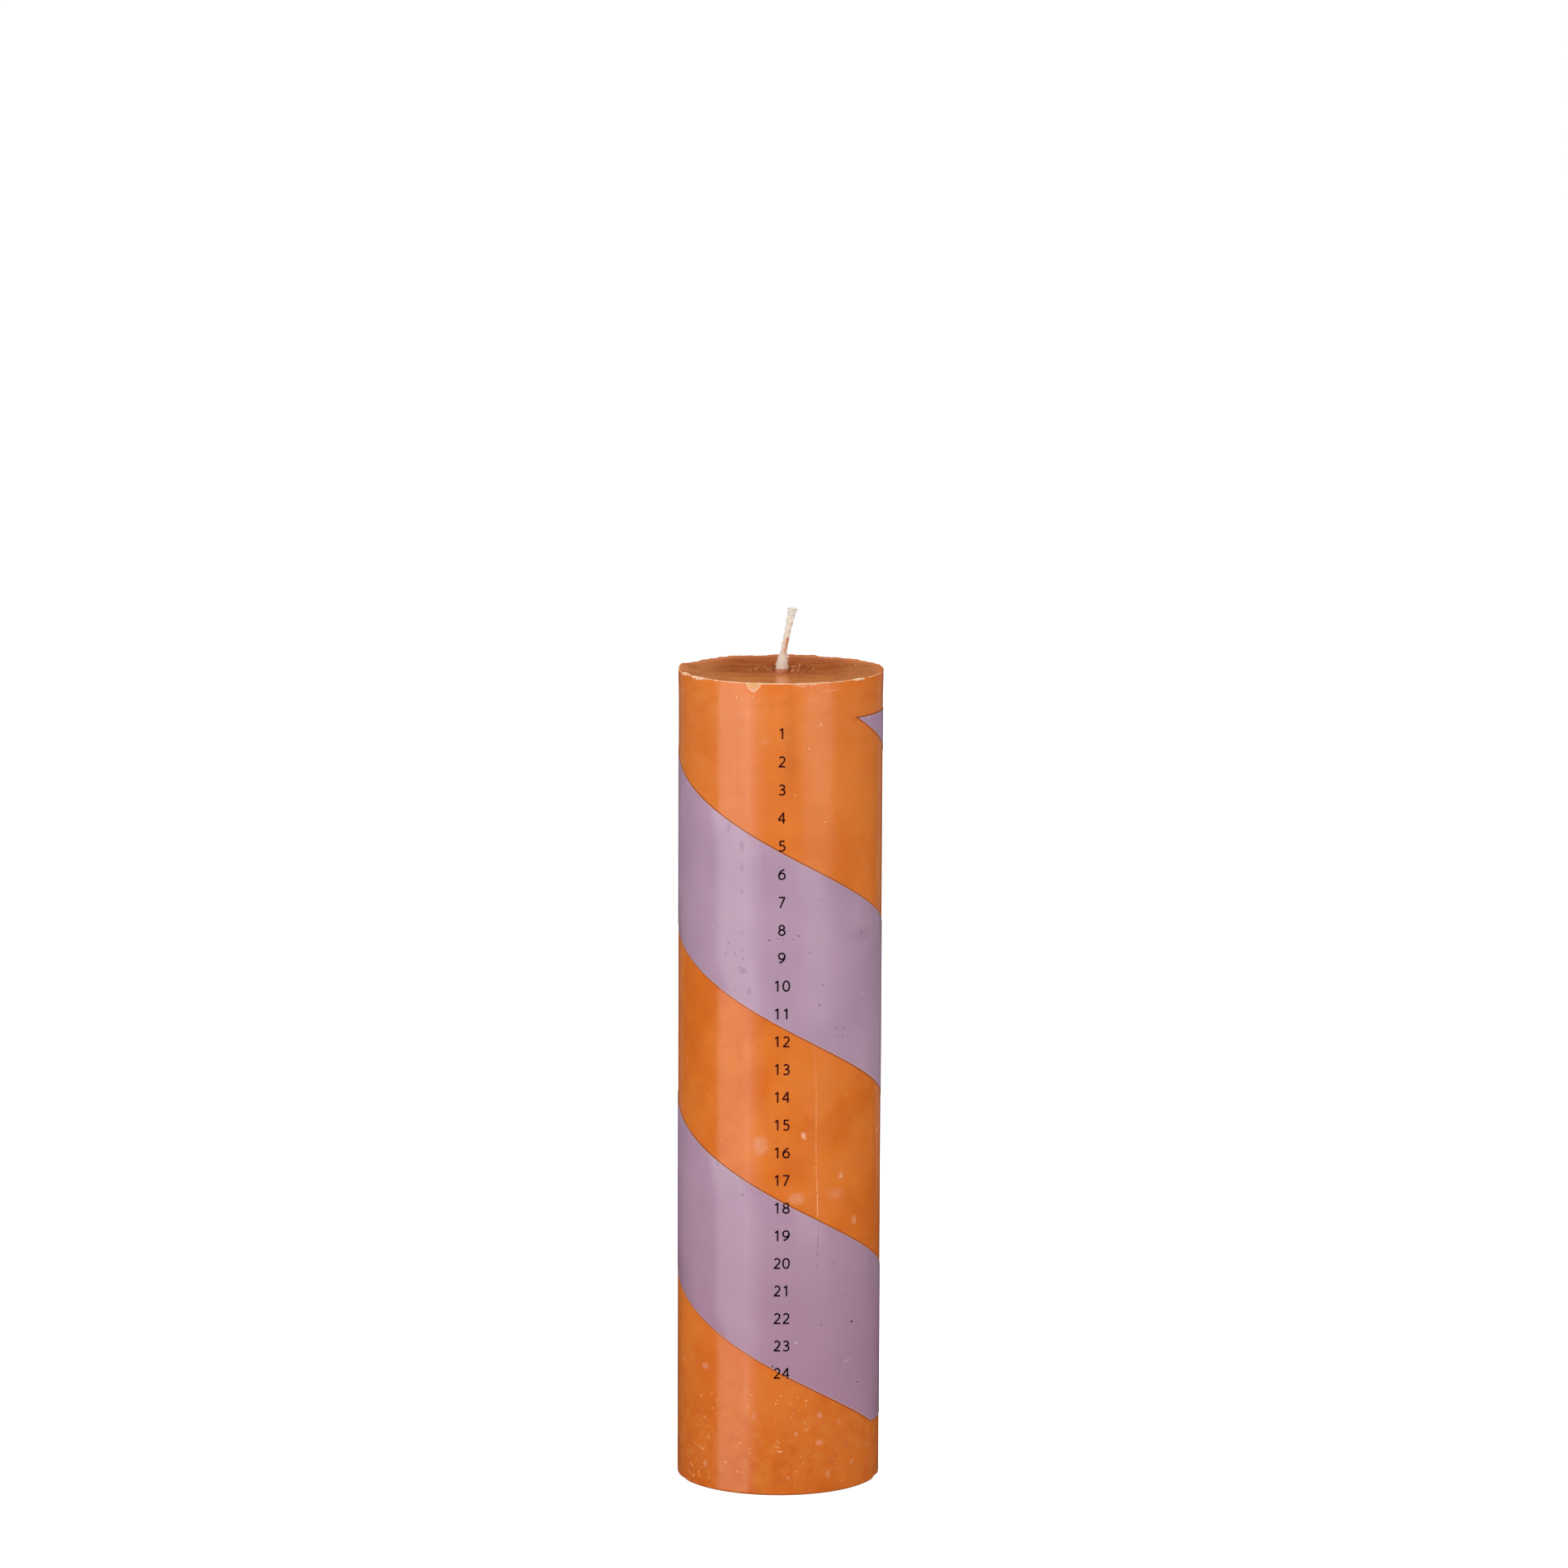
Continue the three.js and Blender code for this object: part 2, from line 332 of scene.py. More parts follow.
# Where the melt stood higher or lower: an angle, a rise and a reach in mm.
LIFTS = ((-97, 0.55, 8), (-125, -0.25, 9), (-170, -0.3, 4), (150, -0.25, 7), (103, 0.3, 10), (88, 0.2, 6))
for angle, rise, reach in LIFTS:
    crest = around(WALL_RADIUS, angle, HEIGHT)
    pick(pillar, "VERT", lambda point: (point - crest).length < 1.2)
    pull((0, 0, rise * MM), reach)
only(pillar)
print("rim height now:", round(max(v.co.z for v in pillar.data.vertices) / MM, 2), "mm")

# %% Chips and dents
# Each knock is an angle, a height, then its half width, half height and depth in the wall.
KNOCKS = (
    (-15.4, 242.2, 1.95, 2.6, 0.45),
    (-54, 242.3, 3.1, 1, 0.45),
    (-71, 242.3, 2.2, 0.9, 0.35),
    (17.7, 242.3, 1.8, 1.2, 0.16),
    (49.5, 242.3, 2.4, 0.7, 0.22),
    (-71, -0.3, 6.5, 1.3, 0.9),
    (-46.5, -0.2, 1.3, 0.8, 0.5),
    (77, -0.3, 4.6, 1.5, 1.1),
    (55, -0.4, 5.5, 1, 0.6),
    (42, -0.2, 0.9, 0.7, 0.4),
)
# A ball's middle stands outside the wall by this share of its half thickness.
BALL = 0.6
LUMPINESS = 0.25
lumps = clouds("knock_lumps", 1.6)
cutters = []
for angle, height, half_width, half_height, depth in KNOCKS:
    cutter = add(bpy.ops.mesh.primitive_ico_sphere_add, "cutter", subdivisions=4, radius=MM)
    swell = 1 / math.sqrt(1 - BALL ** 2)
    thick = depth / (1 - BALL)
    cutter.scale = (half_width * swell, thick, half_height * swell)
    cutter.rotation_euler = (0, 0, math.radians(angle))
    cutter.location = around(wall_radius(height) + thick * BALL, angle, height) * MM
    place_in_mesh(cutter)
    roughen(cutter, lumps, LUMPINESS * depth)
    cutters.append(cutter)
for cutter in cutters:
    modify(pillar, "BOOLEAN", object=cutter, operation="DIFFERENCE", solver="EXACT")
    bpy.data.objects.remove(cutter)
finish_piece(pillar)
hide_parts("wax_body")

# %% [markdown]
# ## Beads of wax round the wick
# When the top was filled, the melt spat: small round drops froze on the sunken top beside the wick. One
# bead is a ball that is flattened and sunk a little into the wax. The others are copies of it, each with
# its own size and turn.

# %% One bead and its copies
# Each cluster is its middle x and y, its half sizes, and how many beads it has.
BEAD_CLUSTERS = (
    (6.4, 8.5, 4.4, 8, 75), (4, 2.4, 1.8, 2.4, 14), (-4.4, 7.5, 3.4, 4, 50), (-9, 6.5, 2.6, 2, 12),
    (14.5, 17, 3, 4, 9), (22, 12, 4, 7, 14), (-14, 4, 6, 6, 5),
)
BEAD_RADIUS = 0.17
BEAD_SINK = 0.4 * BEAD_RADIUS
BEAD_SIZES = (0.5, 0.7, 0.9, 1.15)
spatter = random.Random(5)
bead = add(bpy.ops.mesh.primitive_ico_sphere_add, "bead", subdivisions=2, radius=BEAD_RADIUS * MM)
pick(bead, "VERT", lambda point: point.z < -BEAD_SINK)
bpy.ops.transform.resize(value=(0.8, 0.8, 0.3), center_override=(0, 0, -BEAD_SINK * MM))
only(bead)


def dish_height(radius):
    share = max(0, (radius - dish_end) / (lip_foot - dish_end))
    return DISH_TOP + DISH_DEPTH * share * share


beads = []
for middle_x, middle_y, half_x, half_y, count in BEAD_CLUSTERS:
    for _ in range(count):
        turn, away = spatter.uniform(0, 2 * math.pi), math.sqrt(spatter.random())
        spot = Vector((middle_x + half_x * away * math.cos(turn),
                       middle_y + half_y * away * math.sin(turn), 0))
        spot.z = dish_height(off_axis(spot)) + 0.25 * BEAD_RADIUS
        size = spatter.choice(BEAD_SIZES)
        twin = copy_of(bead, "bead")
        twin.location = spot * MM
        twin.scale = (size * spatter.uniform(0.8, 1.6), size, size)
        twin.rotation_euler = (0, 0, spatter.uniform(0, math.pi))
        place_in_mesh(twin)
        beads.append(twin)
bpy.data.objects.remove(bead)
beads = joined("wax_beads", beads)
finish_piece(beads)

# %% [markdown]
# ## The spiral band
# The lilac band is a thin film of dyed wax that was laid round the pillar on a slant. Unrolled, it is a
# parallelogram: the two long sides climb at a steady rate and both ends are cut level. So it is made
# flat, cut to shape with two slanting bisects, given its thickness, and only then rolled up. The Simple
# Deform modifier bends a sheet into an arc, and it doesn't mind an arc of two and a half turns.

# %% The band's sizes
BAND_TURN_HEIGHT = 103.5
BAND_WIDTH = 51.4
BAND_TOP = 230.6
BAND_BOTTOM = 18.5
BAND_TIP_ANGLE = 48.4
BAND_THICKNESS = 0.08
BAND_EDGE = 0.03
LAID_RADIUS = WALL_RADIUS + 0.03
fall = BAND_TURN_HEIGHT / (2 * math.pi * LAID_RADIUS)
slant = math.atan(fall)
tip_start = LAID_RADIUS * math.radians(BAND_TIP_ANGLE)
band_length = (BAND_TOP - BAND_BOTTOM + BAND_WIDTH) / fall
print("flat band:", round(band_length, 1), "mm long, slanting", round(math.degrees(slant), 2), "degrees")

# %% A flat sheet, cut on the slant
COLUMN = 1.2
BAND_ROWS = 12
band = add(bpy.ops.mesh.primitive_grid_add, "lilac_film", x_subdivisions=round(band_length / COLUMN),
           y_subdivisions=BAND_ROWS, size=1)
band.scale = (band_length * MM, (BAND_TOP - BAND_BOTTOM) * MM, 1)
band.rotation_euler = (math.pi / 2, 0, 0)
band.location = Vector((tip_start + band_length / 2, 0, (BAND_TOP + BAND_BOTTOM) / 2)) * MM
place_in_mesh(band)
lean = Vector((math.sin(slant), 0, math.cos(slant)))
for lift, keep_above in ((0, True), (BAND_WIDTH, False)):
    pick_all(band)
    bpy.ops.mesh.bisect(plane_co=Vector((tip_start, 0, BAND_TOP + lift)) * MM, plane_no=lean,
                        clear_inner=keep_above, clear_outer=not keep_above)
TIP_BLUNTING = 0.5
for end, direction in ((tip_start + TIP_BLUNTING, 1), (tip_start + band_length - TIP_BLUNTING, -1)):
    pick_all(band)
    bpy.ops.mesh.bisect(plane_co=(end * MM, 0, 0), plane_no=(direction, 0, 0), clear_inner=True)
only(band)
print("flat band:", len(band.data.polygons), "faces")

# %% Thickness, softened edges and the roll
modify(band, "SOLIDIFY", thickness=BAND_THICKNESS * MM, offset=1)
modify(band, "BEVEL", width=BAND_EDGE * MM, segments=2, limit_method="ANGLE", angle_limit=math.radians(60))
reach = [v.co.x for v in band.data.vertices]
modify(band, "SIMPLE_DEFORM", deform_method="BEND", deform_axis="Z",
       angle=(max(reach) - min(reach)) / (LAID_RADIUS * MM))
band.location.y = -LAID_RADIUS * MM
finish_piece(band)
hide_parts("spiral_band")
print("film radius in mm:", round(max(off_axis(v.co / MM) for v in band.data.vertices), 3))

# %% [markdown]
# ## The printed days
# The days 1 to 24 are printed down the front in a light, plain hand. Each digit is drawn once, as the
# path that a pen would follow, in strokes that meet at the corners. A curve with some extrusion and a
# quarter turn of tilt is a flat ribbon, so the strokes become a sheet of ink. The sheet is projected on
# the wax and on the film, where it steps over the film's edge as real ink does, and gets its thickness.

# %% Ten digits as pen strokes
# Points are in hundredths of a digit's height, from the middle of the baseline. A trailing True closes
# a loop.
DIGITS = {
    "0": ([(0, 100), (31, 50), (0, 0), (-31, 50), True],),
    "1": ([(-22, 82), (-8, 90), (6, 103)], [(5, 106), (5, -6)]),
    "2": ([(-25, 86), (-4, 100), (22, 88), (25, 66), (2, 32), (-29, 0)], [(-33, 0), (32, 0)]),
    "3": ([(-24, 91), (-4, 100), (21, 89), (20, 65), (-6, 53)],
          [(-12, 53), (18, 47), (28, 26), (16, 5), (-6, 0), (-28, 6)]),
    "4": ([(16, 106), (-36, 29)], [(-37, 29), (35, 29)], [(16, 106), (16, -6)]),
    "5": ([(-20, 100), (27, 100)], [(-17, 104), (-20, 56)],
          [(-21, 56), (4, 59), (23, 48), (27, 27), (16, 6), (-6, 0), (-27, 5)]),
    "6": ([(25, 98), (0, 87), (-24, 60), (-30, 28), (-19, 6), (2, 0), (24, 10), (30, 31), (21, 54), (2, 61),
           (-20, 52), (-28, 36)],),
    "7": ([(-32, 100), (33, 100)], [(29, 100), (8, 52), (-17, -6)]),
    "8": ([(0, 100), (24, 77), (0, 53), (-24, 77), True], [(0, 53), (30, 26), (0, 0), (-30, 26), True]),
}
DIGITS["9"] = tuple([(-x, 100 - y) for x, y in stroke] for stroke in DIGITS["6"])
DIGIT_HEIGHT = 3.36
STROKE = 0.48
PITCH = 8.273
ADVANCE = 2.62
FIRST_HEIGHT = 227.35
print("digits drawn:", sorted(DIGITS))

# %% A digit as a flat sheet of ink
def ink_digit(name, strokes):
    curve, digit = new_curve("digit_" + name, twist_mode="Z_UP", resolution_u=8, extrude=STROKE / 2 * MM)
    for stroke in strokes:
        points = [point for point in stroke if point is not True]
        spline = curve.splines.new("BEZIER")
        spline.bezier_points.add(len(points) - 1)
        spline.use_cyclic_u = stroke[-1] is True
        for knot, (x, y) in zip(spline.bezier_points, points):
            unit = (DIGIT_HEIGHT - STROKE) / 100 * MM
            knot.co = (x * unit, (y - 50) * unit, 0)
            knot.handle_left_type = knot.handle_right_type = "AUTO"
            knot.tilt = math.pi / 2
    only(digit)
    bpy.ops.object.convert(target="MESH")
    digit = bpy.context.object
    digit.rotation_euler = (math.pi / 2, 0, 0)
    place_in_mesh(digit)
    return digit


types = {name: ink_digit(name, strokes) for name, strokes in DIGITS.items()}
print("ribbon faces in an 8:", len(types["8"].data.polygons))

# %% The column of 24 days
# The column drifts a little to the right on its way down, because the printer's screen wasn't quite
# upright.
DAYS = 24
COLUMN_TOP_X = 0.39
COLUMN_BOTTOM_X = 0.97
STAND_OFF = 5
days = []
for day in range(1, DAYS + 1):
    middle = COLUMN_TOP_X + (COLUMN_BOTTOM_X - COLUMN_TOP_X) * (day - 1) / (DAYS - 1)
    height = FIRST_HEIGHT - PITCH * (day - 1)
    for place, letter in enumerate(str(day)):
        across = middle + ADVANCE * (place - (len(str(day)) - 1) / 2)
        digit = copy_of(types[letter], "day")
        digit.location = Vector((across, -WALL_RADIUS - STAND_OFF, height)) * MM
        place_in_mesh(digit)
        days.append(digit)
numerals = joined("day_numerals", days)
for digit in types.values():
    bpy.data.objects.remove(digit)
pick_all(numerals)
bpy.ops.mesh.normals_make_consistent(inside=False)
bpy.ops.mesh.subdivide(number_cuts=1)
only(numerals)
print("sheet of ink:", len(numerals.data.polygons), "faces")

# %% Laying the ink on
INK_THICKNESS = 0.02
INK_LIFT = 0.006
modify(numerals, "SHRINKWRAP", wrap_method="PROJECT", use_project_x=False, use_project_y=True,
       use_project_z=False, use_positive_direction=True, use_negative_direction=False, target=pillar,
       auxiliary_target=band, offset=INK_LIFT * MM)
facing = sum(face.normal.y * face.area for face in numerals.data.polygons)
print("ink faces", "outward" if facing < 0 else "inward")
modify(numerals, "SOLIDIFY", thickness=INK_THICKNESS * MM, offset=1 if facing < 0 else -1)
finish_piece(numerals, 60)

# %% [markdown]
# ## The braided wick
# A candle wick is cotton: yarns are twisted to strands and the strands are laid together the other way,
# so that the rope holds itself. It is made the same way here. One yarn is modelled straight, six copies
# stand round a seventh, and the Simple Deform modifier twists them to a strand. Three strands are set
# together and twisted back. Last, each yarn's end is pulled aside where the wick was cut, and the whole
# rope follows a curve that leans to the right.

# %% The wick's sizes and its lean
WICK_TIP = 260.2
WICK_FOOT = 0.65
LEAN_START = 237.7
LEAN_REACH = 3.3
LEAN_SWEEP = 120.0
YARN_RADIUS = 0.18
YARN_PACKING = 1.95
YARN_CUTS = 95
YARNS, STRANDS = 7, 3
STRAND_OFFSET = 0.52
ROPE_START = 235.5
FRAY_ALLOWANCE = 0.4
STRAND_LAY = -4.0
ROPE_LAY = 7.0


def lean_at(height):
    share = max(0, (height - LEAN_START) / (WICK_TIP - LEAN_START))
    sweep = math.radians(LEAN_SWEEP)
    return LEAN_REACH * (1 - math.cos(sweep * share)) / (1 - math.cos(sweep))


print("the wick's tip leans", lean_at(WICK_TIP), "mm to the right")

# %% Laying yarns and strands
def laid(name, piece, places, lay):
    """Copies of a piece, each at a distance in mm and an angle, twisted once round in so many mm."""
    twins = []
    for distance, angle in places:
        twin = copy_of(piece, piece.name)
        twin.location = around(distance, angle, 0) * MM
        place_in_mesh(twin)
        twins.append(twin)
    bpy.data.objects.remove(piece)
    rope = joined(name, twins)
    modify(rope, "SIMPLE_DEFORM", deform_method="TWIST", deform_axis="Z",
           angle=2 * math.pi * rope_length / lay)
    return rope


rope_length = WICK_TIP + FRAY_ALLOWANCE - ROPE_START
yarn = add_bar("yarn", 8, YARN_RADIUS, rope_length, ROPE_START + rope_length / 2)
pick(yarn, "EDGE", lambda a, b: abs(a.z - b.z) > 1)
bpy.ops.mesh.subdivide(number_cuts=YARN_CUTS)
only(yarn)
yarn_places = [(YARN_RADIUS * YARN_PACKING, place * 60) for place in range(YARNS - 1)] + [(0, 0)]
strand = laid("strand", yarn, yarn_places, STRAND_LAY)
print("one strand:", len(strand.data.polygons), "faces")
strand_places = [(STRAND_OFFSET, place * 120 + 40) for place in range(STRANDS)]
wick = laid("braided_wick", strand, strand_places, ROPE_LAY)

# %% The rope opens towards its end
LOOSE_HEIGHT = 257.2
LOOSE_GROWTH = 1.22
LOOSE_REACH = 3.6
pick(wick, "VERT", lambda point: point.z > LOOSE_HEIGHT)
bpy.ops.transform.resize(
    value=(LOOSE_GROWTH, LOOSE_GROWTH, 1), center_override=(0, 0, LOOSE_HEIGHT * MM),
    use_proportional_edit=True, proportional_edit_falloff="SMOOTH", proportional_size=LOOSE_REACH * MM,
)
only(wick)

# %% The frayed end
# Each yarn's end is moved by itself, with proportional editing that stays on the connected yarn.
chance = random.Random(24)
tips = {}
for vertex in wick.data.vertices:
    if vertex.co.z / MM > ROPE_START + rope_length - 0.01:
        tips.setdefault(vertex.index * YARNS * STRANDS // len(wick.data.vertices), []).append(vertex.index)
print("yarn ends:", len(tips))
for ends in tips.values():
    pick(wick, "VERT", lambda point: False)
    bpy.ops.object.mode_set(mode="OBJECT")
    middle = sum((wick.data.vertices[i].co for i in ends), Vector()) / len(ends)
    for index in ends:
        wick.data.vertices[index].select = True
    bpy.ops.object.mode_set(mode="EDIT")
    outward = Vector((middle.x, middle.y, 0)) * chance.uniform(-0.12, 0.06)
    # The yarns on the right spread furthest, and those on the left a little less.
    if middle.x > 0.72 * MM:
        outward += Vector((0.6, 0, 0)) * MM
    elif middle.x < -0.85 * MM:
        outward += Vector((-0.35, 0, -0.2)) * MM
    stray = Vector([chance.uniform(-0.1, 0.1) for axis in "xy"] + [chance.uniform(-0.35, 0.05)]) * MM
    pull(outward + stray, chance.uniform(1.5, 3.0), use_proportional_connected=True)
only(wick)

# %% Wax between the yarns
# Voxel remesh makes one skin of all the yarns, and a little smoothing fills the grooves as wax does.
FILL_RADIUS = 0.9
WAX_GRAIN = 0.085
FILL_STOP = 2.5
fill_length = rope_length - FILL_STOP
fill = add_bar("fill", 24, FILL_RADIUS, fill_length, ROPE_START + fill_length / 2)
HEAD_LENGTH = 3.4
HEAD_SINK = 0.3
HEAD_RADII = 0.85, 1.16
head = add(
    bpy.ops.mesh.primitive_cone_add, "head", vertices=24, depth=HEAD_LENGTH * MM,
    radius1=HEAD_RADII[0] * MM, radius2=HEAD_RADII[1] * MM,
    location=(0, 0, (ROPE_START + rope_length - HEAD_SINK - HEAD_LENGTH / 2) * MM),
)
place_in_mesh(head)
wick = joined("braided_wick", [wick, fill, head])
modify(wick, "REMESH", mode="VOXEL", voxel_size=WAX_GRAIN * MM)
modify(wick, "SMOOTH", factor=0.5, iterations=3)
print("waxed rope:", len(wick.data.polygons), "faces")

# %% Loose fibres
FIBRE_RADIUS = 0.022


def fibre(root, direction, length):
    curve, hair = new_curve("fibre", bevel_depth=FIBRE_RADIUS * MM, bevel_resolution=0, use_fill_caps=True)
    spline = curve.splines.new("POLY")
    spline.points.add(3)
    point = root.copy()
    for knot in spline.points:
        knot.co = (*point, 1)
        bend = Vector([chance.uniform(-1, 1) for axis in "xyz"]) * 0.5
        direction = (direction + bend).normalized()
        point = point + direction * length / 3
    return hair


# Heights in mm between which a fibre may start. The head has most of them.
FIBRE_REACHES = ((258.0, 260.2), (257.5, 260), (246, 259))
FIBRES = 80
LOOSE_RADIUS, HELD_RADIUS = 1.15, 0.94
hairs = []
for count in range(FIBRES):
    height = chance.choice([chance.uniform(*reach) for reach in FIBRE_REACHES])
    angle = chance.uniform(0, 360)
    root = around(LOOSE_RADIUS if height > LOOSE_HEIGHT else HELD_RADIUS, angle, height) * MM
    direction = around(1, angle, chance.uniform(-0.2, 1.6)).normalized()
    hairs.append(fibre(root, direction, chance.uniform(0.25, 0.8) * MM))
only(*hairs)
bpy.ops.object.convert(target="MESH")
fuzz = joined("fuzz", hairs)
print("fibres:", FIBRES, "with", len(fuzz.data.polygons), "faces")

# %% The core, and the lean
CORE_RADIUS = 0.9
core_top = ROPE_START + 1
core = add_bar("core", 24, CORE_RADIUS, core_top - WICK_FOOT, (core_top + WICK_FOOT) / 2)
pick(core, "FACE", lambda centre, normal: normal.z > 0.9)
inset(0.3, 0.5)
wick = joined("braided_wick", [wick, core, fuzz])


def lean_path():
    curve, path = new_curve("lean")
    spline = curve.splines.new("POLY")
    heights = [0, 120] + [LEAN_START - 2 + 0.6 * step for step in range(44)]
    spline.points.add(len(heights) - 1)
    for knot, height in zip(spline.points, heights):
        knot.co = (lean_at(height) * MM, 0, height * MM, 1)
    return path


def lean_over(piece):
    """The Curve modifier also turns a piece half round, so it is turned half round first."""
    piece.rotation_euler = (0, 0, math.pi)
    place_in_mesh(piece)
    modify(piece, "CURVE", object=path, deform_axis="POS_Z")


path = lean_path()
lean_over(wick)
finish_piece(wick, 60)
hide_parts("wick")
tip = max(wick.data.vertices, key=lambda v: v.co.z).co / MM
print("wick tip at", [round(v, 2) for v in tip])

# %% [markdown]
# ## The primer collar
# A wick is dipped in white primer wax so that it stands. Where it leaves the pillar the primer forms a
# ragged sleeve, squashed and torn by the fingers that straightened it. It is a thin tube: a cylinder
# without ends, widened ring by ring, pulled out into points, roughened by clouds, led down the channel
# and made solid at the end.

# %% A torn sleeve
# Heights and radii in mm: it is widest where it breaks out of the wax and closes round the wick above.
COLLAR_SHAPE = ((237.7, 1.50), (240.7, 1.76), (242.1, 1.76), (243.6, 1.70), (244.8, 1.52), (245.6, 1.36),
                (246.3, 1.18), (246.9, 0.94))
COLLAR_ROWS = 40
COLLAR_WALL = 0.25
COLLAR_BOTTOM, PRIMED_RADIUS = COLLAR_SHAPE[0]
COLLAR_TOP = COLLAR_SHAPE[-1][0]


def collar_radius(height):
    for (low, narrow), (high, wide) in zip(COLLAR_SHAPE, COLLAR_SHAPE[1:]):
        if height <= high:
            return narrow + (wide - narrow) * (height - low) / (high - low)
    return COLLAR_SHAPE[-1][1]


collar = add_bar("primer_collar", 72, PRIMED_RADIUS, COLLAR_TOP - COLLAR_BOTTOM,
                 (COLLAR_TOP + COLLAR_BOTTOM) / 2, end_fill_type="NOTHING")
pick(collar, "EDGE", lambda a, b: abs(a.z - b.z) > 1)
bpy.ops.mesh.subdivide(number_cuts=COLLAR_ROWS - 1)
for step in range(COLLAR_ROWS + 1):
    height = COLLAR_BOTTOM + (COLLAR_TOP - COLLAR_BOTTOM) * step / COLLAR_ROWS
    widen_ring(collar, height, collar_radius(height) / PRIMED_RADIUS, 0.05)
print("collar:", len(collar.data.polygons), "faces")

# %% Ragged edge and points
# Each pull is an angle, a height, how far it moves outwards and upwards, and its reach, in mm.
PULLS = (
    (-60, 246.8, 0, -0.5, 0.8), (10, 246.8, 0.05, 0.3, 0.6), (75, 246.7, 0.12, 0.2, 0.5),
    (140, 246.8, 0, 0.4, 0.8), (-130, 246.8, 0, -0.5, 0.9), (-88, 243.2, 0.3, -0.15, 0.6),
    (-70, 242.2, 0.1, -0.3, 0.5), (84, 242.9, 0.42, -0.25, 0.6), (76, 242, 0.2, -0.3, 0.45),
    (82, 245.7, 0.62, 0.2, 0.6), (74, 244.9, 0.2, -0.1, 0.6), (30, 242.3, 0.08, -0.35, 0.45),
    (-8, 242.4, 0.08, -0.4, 0.45), (-42, 242.4, 0.08, -0.35, 0.45), (130, 243, 0.2, 0, 0.7),
    (-165, 243.4, 0.15, 0, 0.7), (-84, 245.3, 0.12, 0, 0.6),
)
for angle, height, out, up, size in PULLS:
    goal = around(collar_radius(height), angle, height)
    nearest = min((v.co / MM - goal).length for v in collar.data.vertices)
    pick(collar, "VERT", lambda point: (point - goal).length < nearest + 0.01)
    pull(around(out, angle, up) * MM, size)
only(collar)
torn = group_of(collar, "torn", lambda p: 241.9 < p.z < 246.4)
roughen(collar, clouds("crumbs", 0.5), 0.2, vertex_group=torn)
pick(collar, "EDGE", lambda a, b: a.z < COLLAR_BOTTOM + 0.1 and b.z < COLLAR_BOTTOM + 0.1)
bpy.ops.mesh.extrude_region_move(TRANSFORM_OT_translate={"value": (0, 0, (WICK_FOOT - COLLAR_BOTTOM) * MM)})
modify(collar, "SOLIDIFY", thickness=COLLAR_WALL * MM, offset=-1)
lean_over(collar)
bpy.data.objects.remove(path)
finish_piece(collar, 50)
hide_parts("wick_primer")

# %% [markdown]
# ## Colour and nodes
# Colours are written as the sRGB hex values that a paint program shows, and one function turns them to
# the linear numbers that Blender works with. One more function adds a node, sets it and wires it, so
# that a material reads from top to bottom like a recipe.

# %% Two helpers for materials
def colour(code):
    parts = [int(code[i:i + 2], 16) / 255 for i in (1, 3, 5)]
    linear = [part / 12.92 if part <= 0.04045 else ((part + 0.055) / 1.055) ** 2.4 for part in parts]
    return (*linear, 1.0)


def node(tree, kind, inputs=(), **settings):
    """Adds a node and returns its outputs. Inputs come in order or by name, and each is a value, a hex
    colour or another node's output."""
    made = tree.nodes.new(kind if kind.startswith("Node") else "ShaderNode" + kind)
    for name, value in settings.items():
        setattr(made, name, value)
    for name, value in inputs.items() if isinstance(inputs, dict) else enumerate(inputs):
        if isinstance(value, bpy.types.NodeSocket):
            tree.links.new(value, made.inputs[name])
        else:
            made.inputs[name].default_value = colour(value) if isinstance(value, str) else value
    return made.outputs


print("the linear value of mid grey:", round(colour("#808080")[0], 3))
